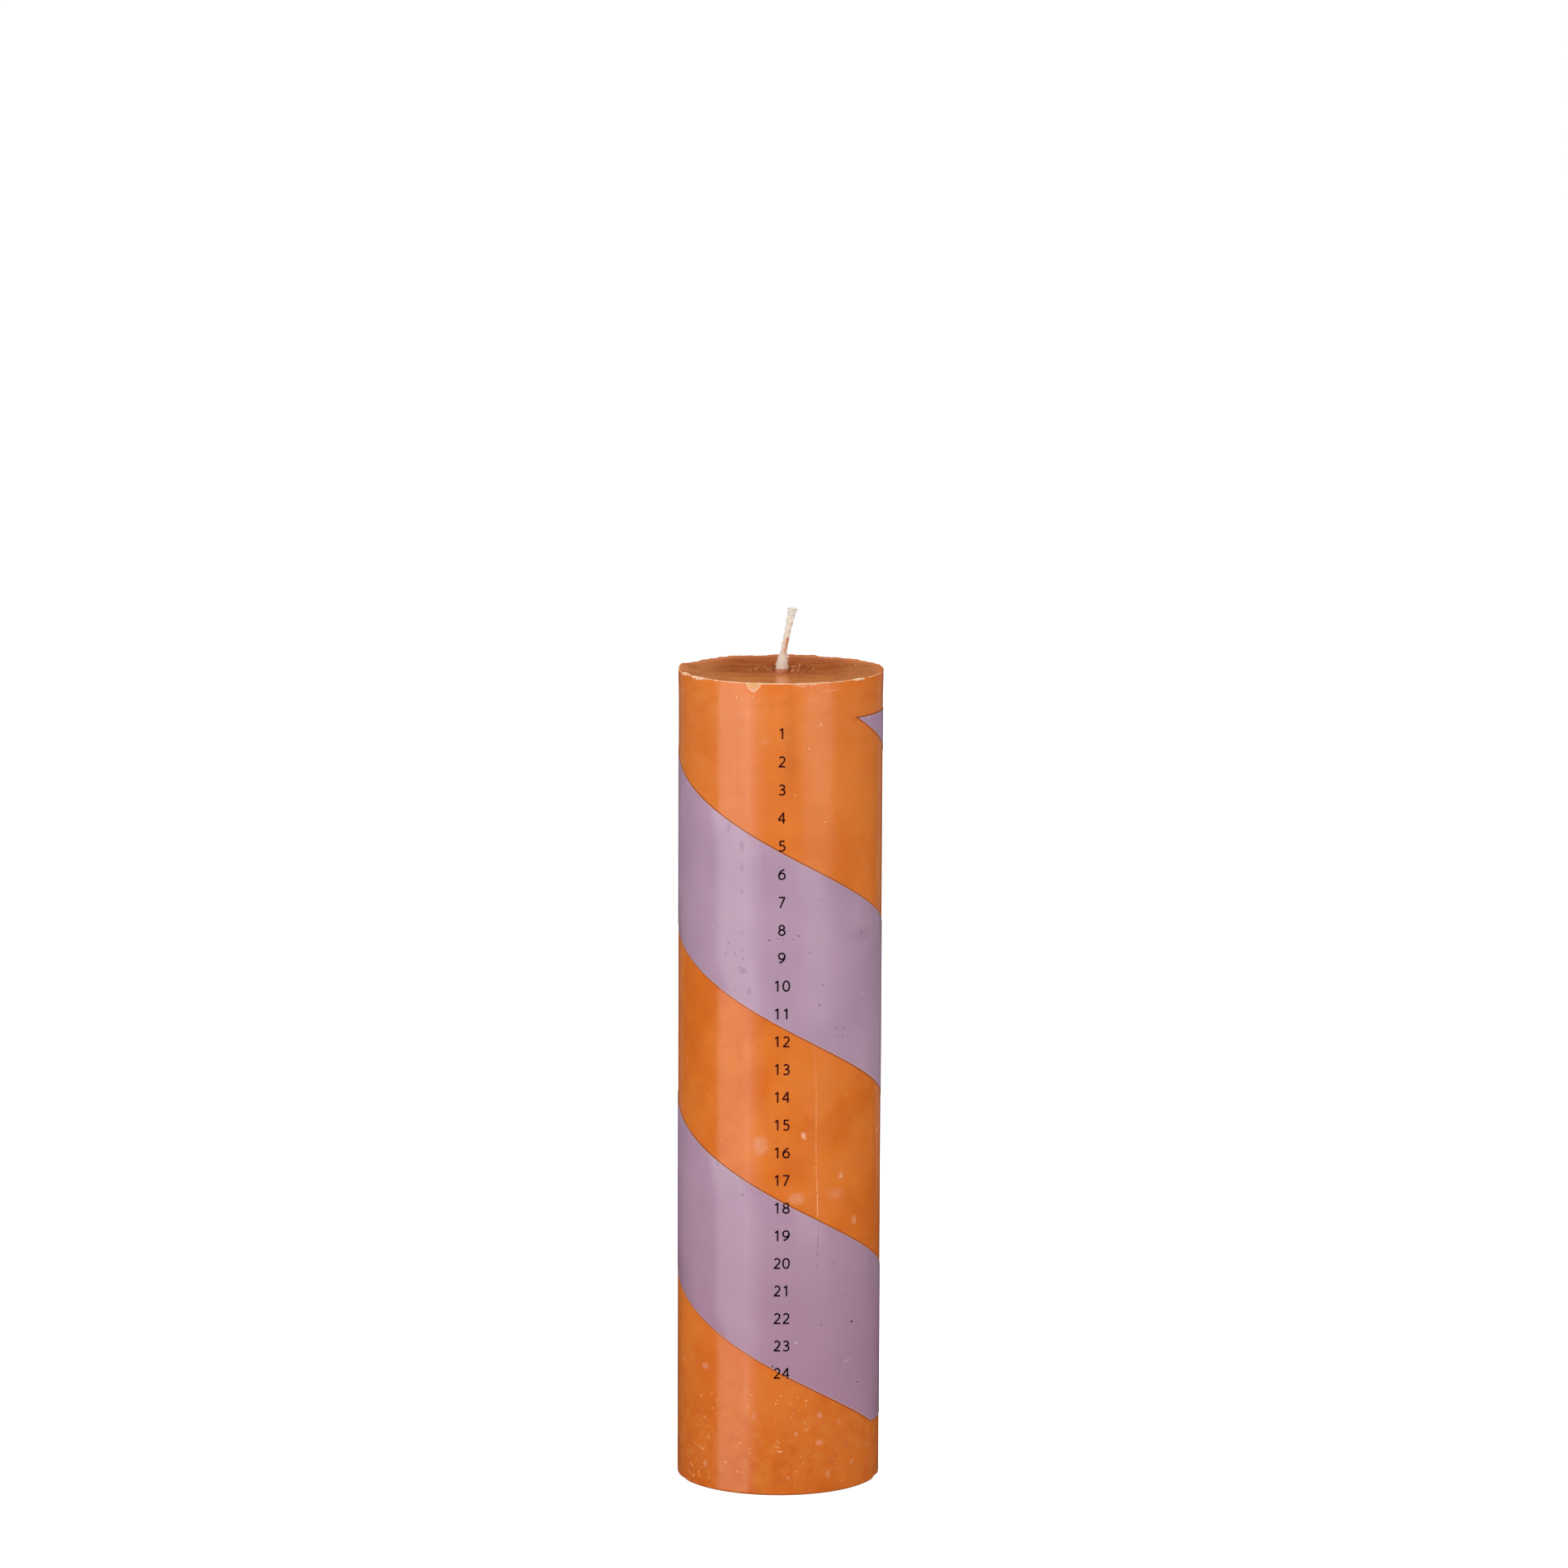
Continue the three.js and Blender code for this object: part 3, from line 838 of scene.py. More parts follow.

# %% [markdown]
# ## A map of the candle's skin
# Everything that is printed, laid or scratched on a pillar is easiest to place on the unrolled skin: so
# many millimetres round and so many up. This node group works that out from the object's own
# coordinates, and also how far each point is from the band's edge, so that painted shade can darken the
# wax along the seam and the ink can look deeper over the film.

# %% The unrolled map as a node group
def unrolled_map():
    tree = bpy.data.node_groups.new("unrolled_skin", "ShaderNodeTree")
    for name, kind in (("solid", "Vector"), ("skin", "Vector"), ("height", "Float"), ("radius", "Float"),
                       ("in_band", "Float")):
        tree.interface.new_socket(name, in_out="OUTPUT", socket_type="NodeSocket" + kind)
    place = node(tree, "TexCoord")["Object"]
    solid = node(tree, "VectorMath", {0: place, "Scale": 1 / MM}, operation="SCALE")[0]
    axes = node(tree, "SeparateXYZ", {0: solid})
    back = node(tree, "Math", (axes["Y"], -1.0), operation="MULTIPLY")[0]
    turn = node(tree, "Math", (axes["X"], back), operation="ARCTAN2")[0]
    along = node(tree, "Math", (turn, WALL_RADIUS), operation="MULTIPLY")[0]
    skin = node(tree, "CombineXYZ", {"X": along, "Y": axes["Z"]})[0]
    flat = node(tree, "CombineXYZ", {"X": axes["X"], "Y": axes["Y"]})[0]
    radius = node(tree, "VectorMath", {0: flat}, operation="LENGTH")["Value"]
    # The height above the middle of the band, wrapped to one turn, tells on which side of it a point is.
    start = -BAND_TOP - BAND_WIDTH / 2 - BAND_TIP_ANGLE / 360 * BAND_TURN_HEIGHT
    sunk = node(tree, "Math", (turn, BAND_TURN_HEIGHT / (2 * math.pi), start),
                operation="MULTIPLY_ADD")[0]
    above = node(tree, "Math", (sunk, axes["Z"]), operation="ADD")[0]
    wrapped = node(tree, "Math", (above, BAND_TURN_HEIGHT / 2, -BAND_TURN_HEIGHT / 2),
                   operation="WRAP")[0]
    distance = node(tree, "Math", {0: wrapped}, operation="ABSOLUTE")[0]
    across = math.cos(slant)
    sloping = node(tree, "Math", (distance, -across, BAND_WIDTH / 2 * across),
                   operation="MULTIPLY_ADD")[0]
    below = node(tree, "Math", (BAND_TOP, axes["Z"]), operation="SUBTRACT")[0]
    over = node(tree, "Math", (axes["Z"], BAND_BOTTOM), operation="SUBTRACT")[0]
    level = node(tree, "Math", (below, over), operation="MINIMUM")[0]
    inside = node(tree, "Math", (sloping, level), operation="MINIMUM")[0]
    node(tree, "NodeGroupOutput", {"solid": solid, "skin": skin, "height": axes["Z"], "radius": radius,
                                   "in_band": inside})
    return tree


SKIN = unrolled_map()
print("map nodes:", len(SKIN.nodes))

# %% [markdown]
# ## What every material starts from
# Wax, film, cotton and tin are all a little cloudy, so each recipe begins with the map and with noises in
# waves of its own sizes. It ends with one surface shader, and the relief is laid on it layer by layer.

# %% The start and the end of a recipe
def new_material(name, **waves):
    """Returns the material, its tree and its ground: the map's outputs, and a noise for each pair of a
    wave's size in mm and a detail."""
    material = bpy.data.materials.new(name)
    material.use_nodes = True
    tree = material.node_tree
    tree.nodes.clear()
    ground = SimpleNamespace(**dict(node(tree, "Group", node_tree=SKIN).items()))
    for wave, (size, detail) in waves.items():
        noise = node(tree, "TexNoise", {"Vector": ground.solid, "Scale": 1 / size, "Detail": detail})
        setattr(ground, wave, noise["Fac"])
    return material, tree, ground


def surface(tree, relief, **inputs):
    """Relief is pairs of a height and how many mm its full height stands out."""
    named = {name.replace("_", " "): value for name, value in inputs.items()}
    for height, depth in relief:
        under = {"Normal": named["Normal"]} if "Normal" in named else {}
        bump = {"Height": height, "Strength": 1.0, "Distance": depth * MM, **under}
        named["Normal"] = node(tree, "Bump", bump)[0]
    shader = node(tree, "BsdfPrincipled", named)
    node(tree, "OutputMaterial", {"Surface": shader["BSDF"]})


def dress(piece, material):
    piece.data.materials.clear()
    piece.data.materials.append(material)

# %% [markdown]
# ## Coats and masks
# A colour is built up as a painter does it, in coats. Every coat has a mask, and a mask is a few limits
# multiplied together: between these heights, outside this radius, where the noise runs high.

# %% Coats of colour
def combined(tree, operation, values):
    total, *others = values
    for value in others:
        total = node(tree, "Math", (total, value), operation=operation)[0]
    return total


def mask(tree, *limits):
    """A limit is a share, a node's output, or a value with where it starts to rise and where it is full.
    The start may be the larger of the two. A fourth number is what it rises to, if that isn't 1."""
    shares = []
    for limit in limits:
        if isinstance(limit, tuple):
            value, start, full, to = (*limit, 1.0)[:4]
            ends = (start, full, 0.0, to) if start < full else (full, start, to, 0.0)
            limit = node(tree, "MapRange", (value, *ends), interpolation_type="SMOOTHSTEP")[0]
        shares.append(limit)
    return combined(tree, "MULTIPLY", shares)


def painted(tree, under, *coats):
    """A coat is a colour and its limits."""
    for over, *limits in coats:
        under = node(tree, "Mix", {"Factor": mask(tree, *limits), 6: under, 7: over}, data_type="RGBA")[2]
    return under

# %% [markdown]
# ## Marks by their place
# A used candle carries its history: pale bruises, specks, a long scratch. Each mark here is a soft
# ellipse on the unrolled skin. One loop adds them, and the strongest mark wins where two meet. A little
# noise bends the map first, so that no mark is a true ellipse. The finest flecks aren't placed one by
# one: they stand on a loose grid, a few of them in each square centimetre.

# %% Marks and flecks
def drawn_out(tree, where, stretch, size, detail):
    """Noise in waves of a size in mm, longer in each direction where the stretch is under 1."""
    where = node(tree, "VectorMath", (where, stretch), operation="MULTIPLY")[0]
    return node(tree, "TexNoise", {"Vector": where, "Scale": 1 / size, "Detail": detail})["Fac"]


def bent(tree, ground, reach):
    """The unrolled skin, pushed about by up to this many mm."""
    wander = node(tree, "TexNoise", {"Vector": ground.solid, "Scale": 1 / 1.3, "Detail": 2.0})["Color"]
    push = node(tree, "VectorMath", (wander, (2 * reach, 2 * reach, 0), (-reach, -reach, 0)),
                operation="MULTIPLY_ADD")[0]
    return node(tree, "VectorMath", (ground.skin, push), operation="ADD")[0]


def centred(tree, where, angle, height, half_width, half_height):
    """The place within an ellipse, in shares of its half width and half height from its middle."""
    middle = WALL_RADIUS * math.radians(angle)
    return node(tree, "VectorMath", (
        where, (1 / half_width, 1 / half_height, 0), (-middle / half_width, -height / half_height, 0),
    ), operation="MULTIPLY_ADD")[0]


def marks(tree, where, places):
    """A mark is an angle, a height, half its width and height in mm, its edge's softness, its strength and,
    where it lies at a slant, the slant in degrees."""
    shares = []
    for angle, height, half_width, half_height, softness, strength, *slants in places:
        here = where
        for tilt in slants:
            middle = WALL_RADIUS * math.radians(angle)
            here = node(tree, "VectorRotate", {
                "Vector": where, "Center": (middle, height, 0), "Angle": -math.radians(tilt),
            }, rotation_type="Z_AXIS")[0]
        near = centred(tree, here, angle, height, half_width, half_height)
        away = node(tree, "VectorMath", {0: near}, operation="LENGTH")["Value"]
        shares.append(mask(tree, (away, 1 + softness / 2, 1 - softness / 2, strength)))
    return combined(tree, "MAXIMUM", shares)


def flecks(tree, where, spacing, edge, chance_limits):
    """The spacing is in mm, the edge in shares of it, and each fleck has a chance of its own, 0 to 1."""
    cells = node(tree, "TexVoronoi", {"Vector": where, "Scale": 1 / spacing, "Randomness": 1.0},
                 voronoi_dimensions="2D", feature="F1")
    lot = node(tree, "SeparateColor", {0: cells["Color"]})[0]
    return mask(tree, (cells["Distance"], *edge), (lot, *chance_limits))

# %% [markdown]
# ## Orange paraffin wax
# Cast paraffin is a little translucent and, fresh from a polished mould, quite glossy. Its index of
# refraction is 1.44. The dye is deepest in the thick wall and looks paler where the surface is bruised,
# because crushed wax is full of tiny cracks that scatter white light. The sunken top is painted darker
# than the wall and faintly streaked.

# %% Where the wax is marked
WAX_IOR = 1.44
# Angle, height, half width, half height, softness, strength.
WAX_BRUISES = (
    (-10.4, 105.2, 2, 2.6, 0.9, 0.45), (13.8, 108.1, 0.75, 1, 0.8, 0.5), (10.2, 89.5, 2.3, 1.6, 1, 0.4),
    (12.5, 88.6, 1.2, 1, 1, 0.3), (34, 90, 2.4, 1.4, 1.6, 0.22), (47.4, 81.2, 0.9, 1.4, 1, 0.4),
    (37.5, 95.2, 1, 1, 1.4, 0.3), (-46, 37.1, 1.2, 0.9, 1.2, 0.5), (-13, 23.8, 0.55, 0.85, 1.2, 0.4),
    (24.2, 23.8, 0.75, 0.75, 1.3, 0.5), (36.7, 21.1, 0.8, 0.8, 1.3, 0.3), (10.5, 18.6, 0.6, 0.6, 1.3, 0.4),
    (24.1, 15.6, 1, 0.9, 1.3, 0.5), (46.6, 8.2, 0.5, 0.6, 1.3, 0.4), (29.6, 5.6, 0.7, 1, 1.3, 0.35),
    (-45.9, 7.5, 0.8, 0.7, 1.3, 0.35), (-58, 206, 1.8, 0.8, 1.2, 0.22), (-8, 225, 1.2, 0.8, 1.2, 0.18),
)
# Specks, then scratches with the slant as a seventh number.
WAX_SPECKS = (
    (22.7, 229.9, 0.12, 0.28, 0.7, 1), (23.3, 229.5, 0.28, 0.11, 0.7, 1), (-25.3, 237.6, 0.1, 0.55, 0.7, 0.9),
    (-15.5, 238, 0.4, 0.14, 1.2, 0.4), (13.8, 108.3, 0.3, 0.4, 0.8, 0.6),
    (-64, 128, 0.5, 0.12, 0.8, 0.8, -35),
)
# Dots are an angle, a height, a radius and a strength.
DOT_SOFTNESS = 0.9
WAX_DOTS = (
    (-63, 238.6, 0.16, 0.8), (16, 236.9, 0.16, 0.6), (16, 222.9, 0.22, 0.95), (13.5, 222.9, 0.15, 0.7),
    (25.9, 200.9, 0.24, 0.9), (8.3, 209.2, 0.2, 0.8), (3, 226.2, 0.12, 0.6), (4.4, 226.1, 0.12, 0.6),
    (6.2, 219.6, 0.12, 0.5), (37, 95.1, 0.3, 1), (37.6, 96.4, 0.15, 0.7), (20.4, 205.4, 0.12, 0.5),
    (31.5, 227.2, 0.14, 0.5), (18, 238.6, 0.16, 0.8), (20.1, 98.4, 0.18, 0.7), (-62.8, 133.3, 0.16, 0.8),
    (-44.2, 119, 0.18, 0.6), (41.2, 119.4, 0.2, 0.8), (30.6, 108.5, 0.14, 0.4), (-34.4, 106.1, 0.16, 0.5),
    (58, 91.1, 0.15, 0.5), (48.7, 81.2, 0.2, 0.5), (-56.7, 39.9, 0.2, 0.8), (-60.4, 40.9, 0.22, 0.4),
    (-64.9, 44.9, 0.18, 0.4), (-60.7, 44.7, 0.2, 0.5), (-57.5, 30.7, 0.2, 0.6), (-40.6, 29.2, 0.22, 0.95),
    (-49.2, 27.8, 0.28, 0.9), (-36.6, 27.5, 0.22, 0.7), (-15.5, 30.2, 0.22, 0.8), (-17.5, 26.8, 0.4, 0.3),
    (-0.3, 28.9, 0.18, 0.7), (-1.2, 27.8, 0.25, 0.7), (-39.7, 24.9, 0.4, 0.25), (-46.3, 21.6, 0.22, 0.6),
    (-51, 18.5, 0.25, 0.4), (-43.9, 19, 0.25, 0.5), (-43.7, 16, 0.28, 0.7), (-42.7, 15.5, 0.22, 0.8),
    (-21.6, 15.6, 0.22, 1), (-59.8, 13, 0.2, 0.6), (-48.9, 11.8, 0.22, 0.8), (-47.6, 11.6, 0.2, 0.9),
    (-16.2, 12.6, 0.22, 0.7), (-58.5, 6.2, 0.2, 0.7), (-57.3, 5.8, 0.2, 0.9), (-51.3, 4.4, 0.3, 0.6),
    (-50.5, 3.4, 0.35, 0.5), (-56.1, 2.8, 0.4, 0.5), (-30.8, 9.1, 0.3, 0.6), (-23.3, 6.8, 0.35, 0.4),
    (-19.8, 6.7, 0.25, 0.5), (11.3, 29.5, 0.25, 0.5), (16, 28.5, 0.25, 0.95), (15.6, 27.1, 0.2, 0.7),
    (1.7, 30.3, 0.25, 0.5), (6.6, 27.9, 0.3, 0.3), (8.9, 25, 0.25, 0.3), (7.3, 23.6, 0.2, 0.6),
    (15, 22.1, 0.22, 0.8), (16.1, 21.6, 0.18, 0.6), (17.2, 20.4, 0.18, 0.7), (16.3, 19.6, 0.22, 0.9),
    (15, 20, 0.2, 0.8), (42.3, 13.7, 0.2, 0.6), (50.8, 10, 0.25, 0.5), (14.5, 9.6, 0.3, 0.4),
    (10.3, 7.3, 0.22, 0.7), (5.7, 5.4, 0.4, 0.35), (39.1, 3, 0.3, 0.4), (1.9, 13.4, 0.25, 0.95),
)
WAX_SCRATCHES = (
    (28.4, 239.4, 2.6, 0.08, 0.8, 0.5, 7), (25, 239.7, 1.6, 0.05, 0.8, 0.3, 3),
    (31.2, 239.6, 2.2, 0.05, 0.8, 0.3, 5), (-67.6, 36.8, 1.1, 0.1, 0.8, 0.9, -17),
    (0.4, 16.4, 0.78, 0.08, 0.8, 0.6, -28), (-0.2, 15.8, 0.95, 0.06, 0.8, 0.4, -18),
    (-0.4, 14.8, 0.88, 0.09, 0.8, 0.8, -20), (0.6, 13.4, 0.57, 0.12, 0.8, 0.8, -14),
    (-60.2, 3.2, 1.7, 0.08, 0.8, 0.5, -34), (-58.6, 5.8, 1.1, 0.08, 0.8, 0.6, -17),
    (-54.7, 12.8, 1.8, 0.07, 0.8, 0.45, -14), (-49.8, 12, 1.4, 0.08, 0.8, 0.6, -27),
    (-62.9, 9.6, 1.3, 0.07, 0.8, 0.35, -16), (-46.5, 21.4, 1, 0.08, 0.8, 0.5, -31),
    (-62.3, 7.8, 0.95, 0.06, 0.8, 0.3, -21), (-40.7, 24.8, 0.97, 0.07, 0.8, 0.3, -24),
    (74.7, 106, 2.2, 0.12, 0.8, 0.8, 14), (14.2, 108, 1.2, 0.12, 0.8, 0.7, -71),
    (13.5, 107.8, 0.8, 0.1, 0.8, 0.6, -62),
)
LONG_SCRATCH = ((21.4, 104.0, 0.11, 28.0, 0.8, 0.5, 1.4), (22.3, 86.0, 0.14, 10.0, 0.7, 0.7, 1.4))
# Fine lines that the mould drew down the front, a faint painted shade just left of the right streak, and two
# nicks.
WAX_LINES_AND_PAINTED_SHADE = (
    (-25, 221, 0.08, 19, 0.5, 0.45), (-22.9, 224, 0.05, 16, 0.6, 0.15), (-19.5, 218, 0.05, 14, 0.6, 0.1),
    (5.5, 224, 1.6, 12, 1.8, 0.3), (12, 219.5, 0.5, 0.1, 0.8, 0.6, 25), (11, 218, 0.4, 0.1, 0.8, 0.5, 30),
)
WAX_CRUSHED = (
    (-54, 242, 3.1, 0.65, 0.35, 1), (-50.5, 241.7, 1, 0.5, 0.4, 1), (-71, 242, 2.1, 0.6, 0.4, 1),
    (17.7, 241.9, 1.8, 0.6, 0.9, 0.75), (11.5, 241.6, 1.7, 0.6, 1.2, 0.35), (49.5, 242, 2.6, 0.35, 0.5, 0.9),
)
# The painted highlight along the rim's rounded edge goes on to the right in dashes.
RIM_HIGHLIGHT_DASHES = (
    (35, 242, 1.9, 0.3, 0.5, 0.6), (41.5, 242, 1.5, 0.3, 0.5, 0.7), (49.5, 242, 2.5, 0.4, 0.5, 1),
    (63, 242, 2.2, 0.35, 0.5, 0.85), (73, 242, 2.4, 0.35, 0.5, 0.85), (67.5, 241.5, 0.15, 0.7, 0.7, 0.8, 12),
)
print("bruises, dots and scratches:", len(WAX_BRUISES), len(WAX_DOTS), len(WAX_SCRATCHES))

# %% The wax's ground and its wall
wax, tree, ground = new_material(
    "paraffin_wax_dyed_orange_cast", dye=(18, 2), mottle=(2.5, 3), patch=(3.5, 4), grain=(0.5, 2),
    dashes=(1.2, 3), patchy=(3, 2), gloss=(6, 3), swell=(14, 1),
)
height, radius = ground.height, ground.radius
# Level smears of paler and deeper wax near the rim, from wiping it.
wiped = drawn_out(tree, ground.skin, (0.5, 0.9, 0), 3.4, 4)
high = mask(tree, (height, 190, 235))
# The lower edge is rubbed: browner, with yellowish patches. The upper third is painted paler, a painted light
# that grows towards the rim.
low = mask(tree, (height, 50, 12))
painted_light_from_above = node(tree, "MapRange", (height, 150.0, 240.0, 0.0, 0.65))[0]
base = painted(
    tree, "#d96b17",
    ("#e37a28", (ground.dye, 0.35, 0.65)),
    ("#c95a12", (ground.mottle, 0.55, 0.75, 0.18)),
    # Painted light: the wall turns paler towards the rim.
    ("#e9843c", painted_light_from_above),
    ("#d66c1f", low, 0.6),
    ("#dc7f2c", low, (ground.patch, 0.5, 0.68, 0.6)),
    ("#b9500f", low, (ground.patch, 0.46, 0.3, 0.3)),
    ("#ee9258", high, (wiped, 0.52, 0.75, 0.25)),
    ("#d2601a", high, (wiped, 0.46, 0.3, 0.3)),
    ("#e6731a", (height, 237.0, 240.5), (wiped, 0.35, 0.6, 0.5)),
)
print("wax nodes for the wall:", len(tree.nodes))

# %% Bruises, specks and scratches
bent_skin = bent(tree, ground, 0.8)
dots = [(angle, up, size, size, DOT_SOFTNESS, strength) for angle, up, size, strength in WAX_DOTS]
bruise = mask(tree, marks(tree, bent_skin, WAX_BRUISES), (ground.grain, 0.1, 0.6))
# The long scratch sways by half a millimetre on its way down and breaks off here and there.
sway = node(tree, "TexNoise", {"W": height, "Scale": 1 / 22, "Detail": 1.0}, noise_dimensions="1D")["Fac"]
sway = node(tree, "Math", (sway, 1.6, -0.8), operation="MULTIPLY_ADD")[0]
sway = node(tree, "CombineXYZ", {"X": sway})[0]
swayed = node(tree, "VectorMath", (ground.skin, sway), operation="ADD")[0]
broken = node(tree, "TexNoise", {"W": height, "Scale": 1 / 1.5, "Detail": 2.0}, noise_dimensions="1D")["Fac"]
base = painted(
    tree, base,
    ("#efaa86", bruise),
    ("#ffd3a0", marks(tree, ground.skin, WAX_SPECKS + WAX_SCRATCHES)),
    ("#ffc68c", marks(tree, bent(tree, ground, 0.16), dots)),
    ("#ffc795", marks(tree, swayed, LONG_SCRATCH), (broken, 0.3, 0.5)),
    # Mould lines and nicks, and a faint painted shade beside the right streak.
    ("#b65c22", marks(tree, ground.skin, WAX_LINES_AND_PAINTED_SHADE)),
)

# %% Flecks near the base, the seam and the underside
# On the left the flecks are short strokes that slant down to the right.
slanted = node(tree, "VectorRotate", {"Vector": bent_skin, "Angle": math.radians(35)},
               rotation_type="Z_AXIS")[0]
slanted = node(tree, "VectorMath", (slanted, (0.3, 1.1, 0)), operation="MULTIPLY")[0]
sideways = node(tree, "SeparateXYZ", {0: ground.skin})["X"]
base = painted(
    tree, base,
    ("#eeb07a", flecks(tree, bent_skin, 1.7, (0.13, 0.05), (0.7, 0.95, 0.7)), (height, 34, 12)),
    ("#f2b070", flecks(tree, slanted, 0.9, (0.16, 0.06), (0.75, 0.95, 0.8)), (height, 30, 8),
     (sideways, -17, -21)),
    ("#ffd2a0", flecks(tree, ground.skin, 9.0, (0.022, 0.008), (0.6, 1.0, 0.6))),
    # Where the film ends, a line 0.3 mm wide is painted dark on the wax: painted contact shadow of the film's
    # edge, with some dark colour of the seam itself.
    ("#7a2a12", (ground.in_band, -0.42, -0.22), (ground.in_band, 0.6, 0.1), 0.75),
    # The underside is plain.
    ("#cf661c", (radius, 28.9, 28.5), (height, 4, 2)),
)

# %% The sunken top
streaks = drawn_out(tree, ground.solid, (0.3, 1, 1), 3, 4)
streaky = mask(tree, (streaks, 0.25, 0.7))
lively = node(tree, "Math", (streaky, 0.35, 0.65), operation="MULTIPLY_ADD")[0]
specked = drawn_out(tree, ground.solid, (1, 0.35, 1), 0.45, 2)
axes = node(tree, "SeparateXYZ", {0: ground.solid})
front = axes["Y"]
aside = node(tree, "Math", {0: axes["X"]}, operation="ABSOLUTE")[0]
among_beads = mask(tree, (aside, 12, 8), (front, -1, 3), (front, 17, 11))
top_colour = painted(
    tree, "#a3501a",
    ("#b76029", (streaks, 0.35, 0.65)),
    # It turns paler in front of the wick, in a band at the back and towards both ends, all of it streaky.
    ("#dc8444", (front, 7, -16), lively),
    ("#b0633c", (front, 18, 24, 0.8), lively),
    ("#cc7f49", (aside, 13, 25, 0.9), lively),
    # Painted light: the rim's inner slope is painted paler.
    ("#d9804c", (radius, 26.5, 29.0, 0.7)),
    # A painted shadow of the lip along the foot of the rim in front, then painted shade in the gaps among the
    # beads, and paler crumbs there.
    ("#8f4216", (radius, 27.8, 28.4), (radius, 29.5, 29.1), (front, -23, -26), (streaks, 0.4, 0.6), 0.7),
    ("#632a0c", (specked, 0.46, 0.38), among_beads, 0.9),
    ("#cf7f4a", (specked, 0.58, 0.66), among_beads, 0.4),
    # Right behind the wick it is painted darkest, partly a painted shadow of the wick and its collar and
    # partly darker melt, and primer wax has bled into the foot of the wick.
    ("#6b3110", (aside, 3.4, 2.4), (front, 3, 6), (front, 16, 12), 0.6),
    ("#c97a58", (radius, 2.7, 2.2, 0.7)),
)
on_top = mask(tree, (radius, 29.95, 29.75), (height, 239.0, 239.5))
base = painted(tree, base, (top_colour, on_top))
print("wax nodes with the top:", len(tree.nodes))

# %% Crushed edges and the rim's painted highlight
crushed = mask(tree, marks(tree, bent_skin, WAX_CRUSHED), (radius, 28.0, 28.4))
crushed_colour = painted(tree, "#f0b284", ("#fddcc0", (ground.grain, 0.45, 0.6)))
# The big chip on the front left is a rounded V with a paler outline.
CHIP = {"angle": -15.4, "height": 242.1, "half_width": 2.3, "half_height": 2.65}
CHIP_ROUNDNESS = 1.65
near_chip = centred(tree, bent(tree, ground, 0.2), **CHIP)
near_chip = node(tree, "VectorMath", {0: near_chip}, operation="ABSOLUTE")[0]
near_chip = node(tree, "SeparateXYZ", {0: near_chip})
chip_reach = combined(tree, "ADD", [
    node(tree, "Math", (near_chip[axis], CHIP_ROUNDNESS), operation="POWER")[0] for axis in "XY"
])
chip = mask(tree, (chip_reach, 1.04, 0.96), (radius, 28.9, 29.3))
chip_colour = painted(tree, "#e9a680", ("#ebab72", (height, 239.6, 241.4)))
# A pale line painted along the rim's rounded edge is a painted highlight, whole on the left and in dashes on
# the right.
on_left = mask(tree, (sideways, 17, 14), (ground.dashes, 0.3, 0.42))
on_right = marks(tree, ground.skin, RIM_HIGHLIGHT_DASHES)
rim_highlight = combined(tree, "MAXIMUM", (on_left, on_right))
rim_highlight_colour = painted(tree, "#f9b978", ("#ffe6c8", (ground.patchy, 0.4, 0.6)))
base = painted(
    tree, base,
    (crushed_colour, crushed),
    (chip_colour, chip),
    ("#ffdcb0", chip, (chip_reach, 0.78, 0.92), 0.75),
    (rim_highlight_colour, rim_highlight, (height, 241.78, 241.9), (radius, 29.72, 29.84)),
    # Painted shade along the bottom of the base edge, where it meets the table.
    ("#7c4a22", (height, 0.5, 0.15), (radius, 28.0, 28.6)),
)

# %% Gloss and relief
worn = combined(tree, "MAXIMUM", (bruise, crushed, chip))
rough = node(tree, "MapRange", (ground.gloss, 0.3, 0.75, 0.12, 0.28))[0]
rough = node(tree, "Math", (worn, 0.4, rough), operation="MULTIPLY_ADD")[0]
rough = node(tree, "Math", (on_top, 0.1, rough), operation="MULTIPLY_ADD")[0]
mould = drawn_out(tree, ground.solid, (1, 1, 0.05), 1.2, 2)
crumbs = mask(tree, ground.grain, worn)
top_waves = mask(tree, streaks, on_top)
surface(tree, ((ground.swell, 0.05), (mould, 0.004), (crumbs, 0.12), (top_waves, 0.06)),
        Base_Color=base, Roughness=rough, IOR=WAX_IOR, Specular_IOR_Level=0.7,
        Subsurface_Weight=0.12, Subsurface_Radius=(1.0, 0.35, 0.12), Subsurface_Scale=1.2 * MM)
dress(pillar, wax)
print("wax nodes:", len(tree.nodes))

# %% Bead material
drop, tree, ground = new_material("paraffin_wax_spatter_orange", tone=(0.8, 2))
surface(tree, (), Base_Color=painted(tree, "#bf6c35", ("#f6b184", (ground.tone, 0.42, 0.6))),
        Roughness=mask(tree, (ground.tone, 0.0, 1.0, 0.3)), IOR=WAX_IOR)
dress(beads, drop)
